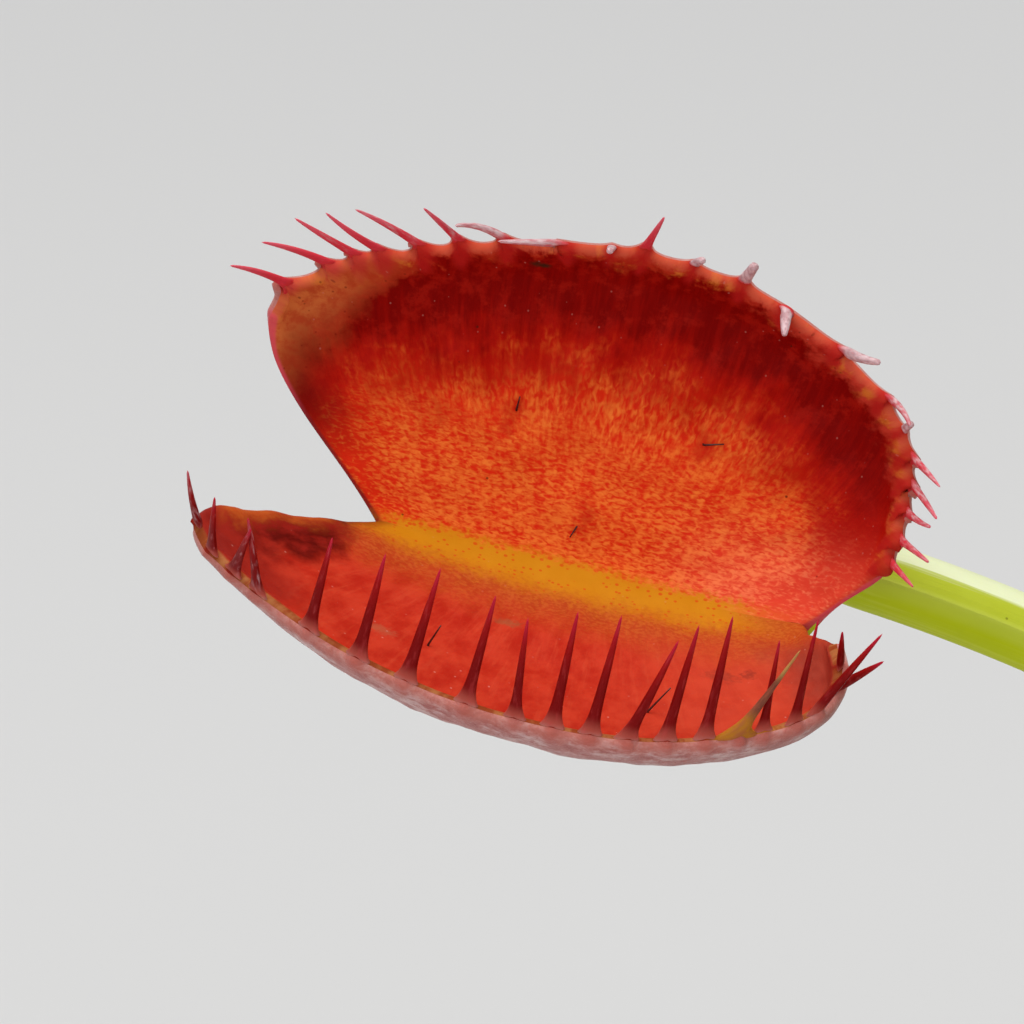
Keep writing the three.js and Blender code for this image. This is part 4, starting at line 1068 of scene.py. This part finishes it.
# ---------------------------------------------------------------- crown, soil and pot
def crown_scales():
    """The crown: a low dome wrapped in overlapping pale leaf bases."""
    bm = bmesh.new()
    scale = bm.verts.layers.float_vector.new("scale")
    draws = random.Random(5)

    def dome(share, turn):
        angle = math.radians(lerp(-60, 90, share))
        radius = (CROWN["radius"] - 1.6) * max(math.cos(angle), 0)
        z = CROWN["shoulder"] - 1.2 + (CROWN["top"] - CROWN["shoulder"] - 0.6) * math.sin(angle)
        return Vector((*around(radius, 2 * math.pi * turn), z)), (0.5, 0.4 + 0.3 * share, 0)

    rolled(bm, 14, 32, dome, [scale])
    close_up(bm)
    for whorl, (count, ring, tall, wide) in enumerate([(9, 7.3, 4.2, 3.4), (7, 5.6, 5.2, 3.0), (5, 3.6, 5.6, 2.4)]):
        for n in range(count):
            turn = 2 * math.pi * (n + 0.5 * whorl) / count + draws.uniform(-0.12, 0.12)
            height = tall * draws.uniform(0.85, 1.08)
            sheet = bmesh.ops.create_grid(bm, x_segments=8, y_segments=10, size=1)["verts"]
            for vert in sheet:
                p, up = vert.co.x, (vert.co.y + 1) / 2
                width = wide * (1 - up**2.2) ** 0.6
                angle = turn + p * width / ring
                radius = ring * (1.02 - 0.32 * up * up) - 0.25 * (1 - p * p) * up
                radius = min(radius, CROWN["radius"] - 0.25)
                z = CROWN["shoulder"] - 0.8 + whorl * 0.5 + height * up
                vert.co = (*around(radius, angle), min(z, CROWN["top"] - 0.2))
                vert[scale] = (p, up, whorl)
            bmesh.ops.remove_doubles(bm, verts=sheet, dist=1e-3)
            faces = list({face for vert in sheet if vert.is_valid for face in vert.link_faces})
            bmesh.ops.recalc_face_normals(bm, faces=faces)
            bmesh.ops.solidify(bm, geom=faces, thickness=0.45)
    bmesh.ops.recalc_face_normals(bm, faces=bm.faces)
    return bm


def pot_inside(z):
    return lerp(POT["base_radius"], POT["top_radius"], z / POT["height"]) - POT["wall"] - 1.5 * GAP


def soil_height(x, y):
    reach = pot_inside(SOIL_TOP)
    mound = SOIL_MOUND * (1 - (x * x + y * y) / (reach * reach))
    lumps = math.sin(x * 0.61 + 1.3 * math.sin(y * 0.37)) * math.cos(y * 0.53 + 0.7 * math.sin(x * 0.29))
    return SOIL_TOP + mound + SOIL_LUMP * lumps


def soil_bed():
    """The soil as one closed body with a crumbled surface."""
    bm = bmesh.new()
    bottom = POT["floor"] + GAP
    top_radius = pot_inside(SOIL_TOP - SOIL_LUMP)
    surface_share = 0.86

    def place(u, turn):
        angle = 2 * math.pi * turn
        if u <= surface_share:
            radius = top_radius * u / surface_share
            x, y = around(radius, angle)
            rough = noise.fractal((x * 0.55, y * 0.55, 1.5), 0.8, 2.1, 4) * 0.55
            return (Vector((x, y, soil_height(x, y) + rough * smooth(top_radius - radius, 0, 2) - 0.1)),)
        down = (u - surface_share) / (1 - surface_share)
        z = lerp(soil_height(*around(top_radius, angle)) - 0.1, bottom, min(down * 1.25, 1))
        radius = pot_inside(z) * (1 if down < 0.8 else (1 - down) * 5)
        return (Vector((*around(radius, angle), z)),)

    rolled(bm, 110, 150, place)
    close_up(bm)
    return bm


def scatter(count, seed, radius_range, faces, squash, lift):
    """Small uneven grains strewn over the soil."""
    bm = bmesh.new()
    draws = random.Random(seed)
    reach = pot_inside(SOIL_TOP) - 1.2
    for _ in range(count):
        x, y = around(reach * math.sqrt(draws.uniform(0.05, 1)), draws.uniform(0, 2 * math.pi))
        radius = lerp(*radius_range, draws.random() ** 2.2)
        made = bmesh.ops.create_icosphere(bm, subdivisions=faces, radius=radius)["verts"]
        for vert in made:
            vert.co *= 1 + 0.5 * noise.noise(vert.co / radius * 0.9 + Vector((x, y, 0)))
        turn = draws.uniform(0, 6.28)
        turned = Matrix.Rotation(turn, 4, Vector((draws.random(), draws.random(), draws.random() + 0.1)))
        stretched = Matrix.Diagonal((1, draws.uniform(0.6, 1), squash * draws.uniform(0.7, 1.1), 1))
        place = Matrix.Translation((x, y, soil_height(x, y) + radius * lift))
        bmesh.ops.transform(bm, matrix=place @ turned @ stretched, verts=made)
    return bm


def moss_tufts():
    """Small cushions of moss, each of fine pointed shoots."""
    bm = bmesh.new()
    draws = random.Random(23)
    reach = pot_inside(SOIL_TOP) - 2.4
    shade = bm.verts.layers.float_vector.new("scale")
    for _ in range(16):
        turn, out = draws.uniform(0, 2 * math.pi), reach * draws.uniform(0.45, 0.97)
        (cx, cy), spread = around(out, turn), draws.uniform(1.6, 3.8)
        for _ in range(int(26 * spread)):
            away, swing = spread * math.sqrt(draws.random()), draws.uniform(0, 2 * math.pi)
            dx, dy = around(away, swing)
            x, y = cx + dx, cy + dy
            if math.hypot(x, y) > reach + 1.2:
                continue
            tall = draws.uniform(0.7, 1.7) * (1.15 - 0.6 * away / spread)
            made = bmesh.ops.create_cone(bm, segments=4, cap_ends=True, radius1=0.2, radius2=0.03, depth=tall)["verts"]
            for vert in made:
                vert[shade] = (0, 0.5 + vert.co.z / tall, draws.random())
            lean = Matrix.Rotation(draws.uniform(0, 0.55), 4, Vector((math.sin(swing), -math.cos(swing), 0)))
            stood = Matrix.Translation((x, y, soil_height(x, y) + tall * 0.42))
            bmesh.ops.transform(bm, matrix=stood @ lean, verts=made)
    return bm


def moss_finish():
    f = Finish("moss", Roughness=0.8, Specular_IOR_Level=0.2)
    _, up, tint = f.split(f.attribute("scale"))
    shoot = f.mix(tint, (0.10, 0.17, 0.015), (0.22, 0.27, 0.03))
    shoot = f.mix(f.ramp(up, 0.35, 1.0), f.mix(0.5, shoot, (0.03, 0.03, 0.008)), shoot)
    colour = f.wash(shoot, f.grain(f.place(), 900, 3), 0.4, (0.30, 0.33, 0.07))
    return f.done(colour, None, f.grain(f.place(), 2500, 2), 0.1, 0.6)


def drain_holes(pot):
    """Cuts the ring of drain holes through the pot's floor."""
    bm = bmesh.new()
    depth = 3 * POT["floor"]
    for n in range(POT["drain_holes"]):
        turn = (n + 0.5) * 2 * math.pi / POT["drain_holes"]
        at = Vector((*around(1, turn), 0)) * POT["drain_circle"] + UP * (POT["floor"] / 2)
        bmesh.ops.create_cone(
            bm, segments=32, cap_ends=True, radius1=POT["drain_radius"], radius2=POT["drain_radius"], depth=depth,
            matrix=Matrix.Translation(at),
        )
    bmesh.ops.scale(bm, vec=(MM, MM, MM), verts=bm.verts)
    mesh = bpy.data.meshes.new("drain holes")
    bm.to_mesh(mesh)
    bm.free()
    cutter = bpy.data.objects.new("drain holes", mesh)
    bpy.context.scene.collection.objects.link(cutter)
    cut = pot.modifiers.new("drain holes", "BOOLEAN")
    cut.operation, cut.solver, cut.object = "DIFFERENCE", "EXACT", cutter
    bpy.context.view_layer.update()
    shaped = pot.evaluated_get(bpy.context.evaluated_depsgraph_get())
    made = bpy.data.meshes.new_from_object(shaped)
    pot.modifiers.remove(cut)
    pot.data = made
    bpy.data.objects.remove(cutter)


def pot_shell():
    """The pot: its profile turned round, with a rounded rim; drain_holes cuts the holes through its floor afterwards.
    """
    height, wall, floor, chamfer = (POT[part] for part in ("height", "wall", "floor", "foot_chamfer"))
    rim_bottom = height - POT["rim_height"]

    def outer(z):
        return lerp(POT["base_radius"], POT["top_radius"], z / height)

    profile = [
        (0, 0.5), (24, 0.5), (25.2, 0), (POT["base_radius"] - chamfer, 0), (outer(chamfer) - 0.3, 0.55),
        (outer(chamfer), chamfer), (outer(20), 20), (outer(44), 44), (outer(rim_bottom) - 0.05, rim_bottom - 0.6),
        (outer(rim_bottom) + 0.1, rim_bottom), (outer(rim_bottom) + 0.5, rim_bottom + 0.12),
        (outer(rim_bottom) + 1.8, rim_bottom + 0.25), (outer(rim_bottom) + POT["rim_out"], rim_bottom + 0.7),
        (POT["top_radius"] + 2.16, height - 1.0), (POT["top_radius"] + 2.0, height - 0.35),
        (POT["top_radius"] + 1.5, height), (POT["top_radius"] - 0.7, height), (POT["top_radius"] - 1.0, height - 0.12),
        (outer(height - 1.2) - wall, height - 1.2), (outer(40) - wall, 40), (outer(4.5) - wall, 4.5),
        (outer(floor) - wall - 1.6, floor), (0, floor),
    ]
    bm = bmesh.new()
    verts = [bm.verts.new((radius, 0, z)) for radius, z in profile]
    edges = [bm.edges.new(pair) for pair in zip(verts, verts[1:])]
    bmesh.ops.spin(bm, geom=verts + edges, axis=UP, cent=(0, 0, 0), angle=2 * math.pi, steps=120, use_merge=True)
    bmesh.ops.remove_doubles(bm, verts=bm.verts, dist=1e-3)
    bmesh.ops.recalc_face_normals(bm, faces=bm.faces)
    return bm


# ---------------------------------------------------------------- the plant
def placed(bm, size, axes, origin):
    """Brings a piece from its trap's own axes to the trap's place on the plant."""
    bmesh.ops.scale(bm, vec=[size] * 3, verts=bm.verts)
    turned = axes.to_4x4()
    turned.translation = origin
    bmesh.ops.transform(bm, matrix=turned, verts=bm.verts)
    return bm


def sharpen(made, degrees):
    """Keeps the folds of a moulded piece crisp while its round faces stay smooth."""
    made.data.set_sharp_from_angle(angle=math.radians(degrees))


long_skins = near_face(), far_face(), lobe_outside("mauve outside", 1)
plain_red = plain_face("plain face", 0.92)
plain_skins = plain_red, plain_red, lobe_outside("green outside", 0.25)
young_face = plain_face("young face", 0.35)
young_skins = young_face, young_face, lobe_outside("young outside", 0.0)
spine_skin, hair_skin = spine_finish(), hair_finish()
stalk_green, young_green = stalk_finish("stalk", 0.0), stalk_finish("young stalk", 0.55)

# How finely a leaf is made: steps along and across its lobes, and along and round its spines and its stalk.
LONG_STEPS = {"lobes": (340, 50), "spines": (26, 10), "stalk": (120, 48)}
PLAIN_STEPS = {"lobes": (84, 22), "spines": (12, 6), "stalk": (72, 32)}
YOUNG_STEPS = {"lobes": (36, 10), "spines": (8, 6), "stalk": (40, 24)}
PLAIN_SPINES, YOUNG_SPINES = 10, 4  # spines on each rim
YOUNG_TRAP_SUNK = 1.5  # how far a young trap is set over the end of its stem


def leaf_lines(entry, sunk=0):
    """A leaf's axes, its stalk's line with the length of it, and where its trap's own axes start."""
    axes = trap_axes(entry)
    line, run = stalk_line(entry, axes)
    root = line[-1][0] - axes @ Vector((sunk, 0, 0))
    return axes, line, run, root - axes @ Vector(entry["joint"]["at"]) * entry["trap"]["size"]


def even_rows(trap, count, seed):
    """Both rows of spines, drawn as the source draws them, the near lobe's first."""
    draws = source_draws(seed)
    return {side: even_row(lobe_on(trap, side), count, draws) for side in (1, -1)}


def row_headings(rows):
    return {side: spine_headings(side, rows[side]) for side in (1, -1)}


for order, entry in enumerate(LEAVES):
    trap, long, name = entry["trap"], order == 0, entry["name"]
    axes, line, run, origin = leaf_lines(entry)
    place = trap["size"], axes, origin
    if long:
        hero_origin = origin
    rows = {1: NEAR_SPINES, -1: FAR_SPINES} if long else even_rows(trap, PLAIN_SPINES, 11 + order)
    headings = row_headings(rows)
    steps, skins = (LONG_STEPS, long_skins) if long else (PLAIN_STEPS, plain_skins)
    sheet = placed(trap_sheet(trap, *steps["lobes"], headings, 10 * order), *place)
    piece(sheet, "lobes_" + name, "trap_" + name, "trap", *skins)
    fringe = placed(spines(trap, headings, *steps["spines"], 40 + order), *place)
    piece(fringe, "spines_" + name, "trap_" + name, "trap", spine_skin)
    if trap["near"] is not SHUT:
        piece(placed(trigger_hairs(trap), *place), "hairs_" + name, "trap_" + name, "trap", hair_skin)
    skin = stalk_skin(entry, line, run, *steps["stalk"], 1.0 if long else 2.2 * trap["size"])
    piece(skin, "stalk_skin_" + name, "stalk_" + name, "stalk", stalk_green)

for number, entry in enumerate(YOUNG_LEAVES):
    trap, node = entry["trap"], "young_leaf_" + entry["name"]
    axes, line, run, origin = leaf_lines(entry, YOUNG_TRAP_SUNK)
    place = trap["size"], axes, origin
    headings = row_headings(even_rows(trap, YOUNG_SPINES, 71 + number))
    stem = stalk_skin(entry, line, run, *YOUNG_STEPS["stalk"], 0)
    piece(stem, "young_stem_" + entry["name"], node, "young_leaf", young_green)
    bud = placed(trap_sheet(trap, *YOUNG_STEPS["lobes"], headings, 90 + number), *place)
    piece(bud, "young_lobes_" + entry["name"], node, "young_leaf", *young_skins)
    fringe = placed(spines(trap, headings, *YOUNG_STEPS["spines"], 60 + number), *place)
    piece(fringe, "young_spines_" + entry["name"], node, "young_leaf", spine_skin)

piece(crown_scales(), "crown_scales", "crown", "crown", crown_finish())
piece(soil_bed(), "soil_bed", "soil", "soil", soil_finish("peat", (0.030, 0.018, 0.011), (0.085, 0.052, 0.030)))
crumbs = scatter(1500, 3, (0.28, 1.0), 1, 0.8, 0.3)
piece(crumbs, "soil_crumbs", "soil", "soil", soil_finish("peat crumbs", (0.040, 0.024, 0.014), (0.115, 0.070, 0.040)))
grit = scatter(90, 8, (0.4, 1.15), 2, 0.85, 0.35)
piece(grit, "perlite", "soil", "soil", soil_finish("perlite", (0.52, 0.50, 0.45), (0.74, 0.73, 0.69)))
piece(moss_tufts(), "moss", "soil", "soil", moss_finish())
pot = piece(pot_shell(), "pot_shell", "pot", "pot", pot_finish())
drain_holes(pot)
sharpen(pot, 40)

# ---------------------------------------------------------------- floor, light and camera
floor_bm = bmesh.new()
bmesh.ops.create_grid(floor_bm, x_segments=1, y_segments=1, size=6)
floor_mesh = bpy.data.meshes.new("floor")
floor_bm.to_mesh(floor_mesh)
floor_bm.free()
floor_mesh.materials.append(floor_finish())
floor = bpy.data.objects.new("floor", floor_mesh)
bpy.context.scene.collection.objects.link(floor)


def soft_light(name, place, target, size, power, colour):
    data = bpy.data.lights.new(name, "AREA")
    data.shape, data.size, data.energy, data.color = "DISK", size, power, colour
    light = bpy.data.objects.new(name, data)
    light.location = place
    light.rotation_euler = (Vector(target) - Vector(place)).to_track_quat("-Z", "Y").to_euler()
    bpy.context.scene.collection.objects.link(light)


hero = hero_origin * MM
soft_light("overhead", (-0.10, 0.10, 0.62), hero, 0.45, 2.4, (1.0, 0.985, 0.96))
soft_light("front fill", (-0.42, -0.55, 0.42), hero, 0.55, 1.95, (0.97, 0.985, 1.0))
soft_light("right fill", (0.45, -0.35, 0.42), hero, 0.45, 1.0, (1.0, 0.99, 0.97))

world = bpy.data.worlds.new("studio")
bpy.context.scene.world = world
world.use_nodes = True
background = world.node_tree.nodes["Background"].inputs
background["Color"].default_value = (0.93, 0.95, 1.0, 1)
background["Strength"].default_value = 0.38
bpy.context.scene.view_settings.view_transform = "Standard"

VIEW_ELEVATION = math.radians(30)
VIEW_DISTANCE = 0.4
VIEW_WIDTH = 0.04655  # how much of the trap's surroundings the picture takes in
AIM_ACROSS, AIM_UP = -3.55, 3.09  # where the picture's middle lies from the long leaf's trap, in millimetres
SENSOR = 36
back = Vector((0, -math.cos(VIEW_ELEVATION), math.sin(VIEW_ELEVATION)))
up = Vector((0, math.sin(VIEW_ELEVATION), math.cos(VIEW_ELEVATION)))
aim = hero + Vector((AIM_ACROSS * MM, 0, 0)) + up * (AIM_UP * MM)
camera_data = bpy.data.cameras.new("camera")
camera_data.sensor_width = SENSOR
camera_data.lens = SENSOR * VIEW_DISTANCE / VIEW_WIDTH
camera_data.clip_start = 0.01
camera = bpy.data.objects.new("camera", camera_data)
camera.location = aim + back * VIEW_DISTANCE
camera.rotation_euler = (math.pi / 2 - VIEW_ELEVATION, 0, 0)
bpy.context.scene.collection.objects.link(camera)
bpy.context.scene.camera = camera
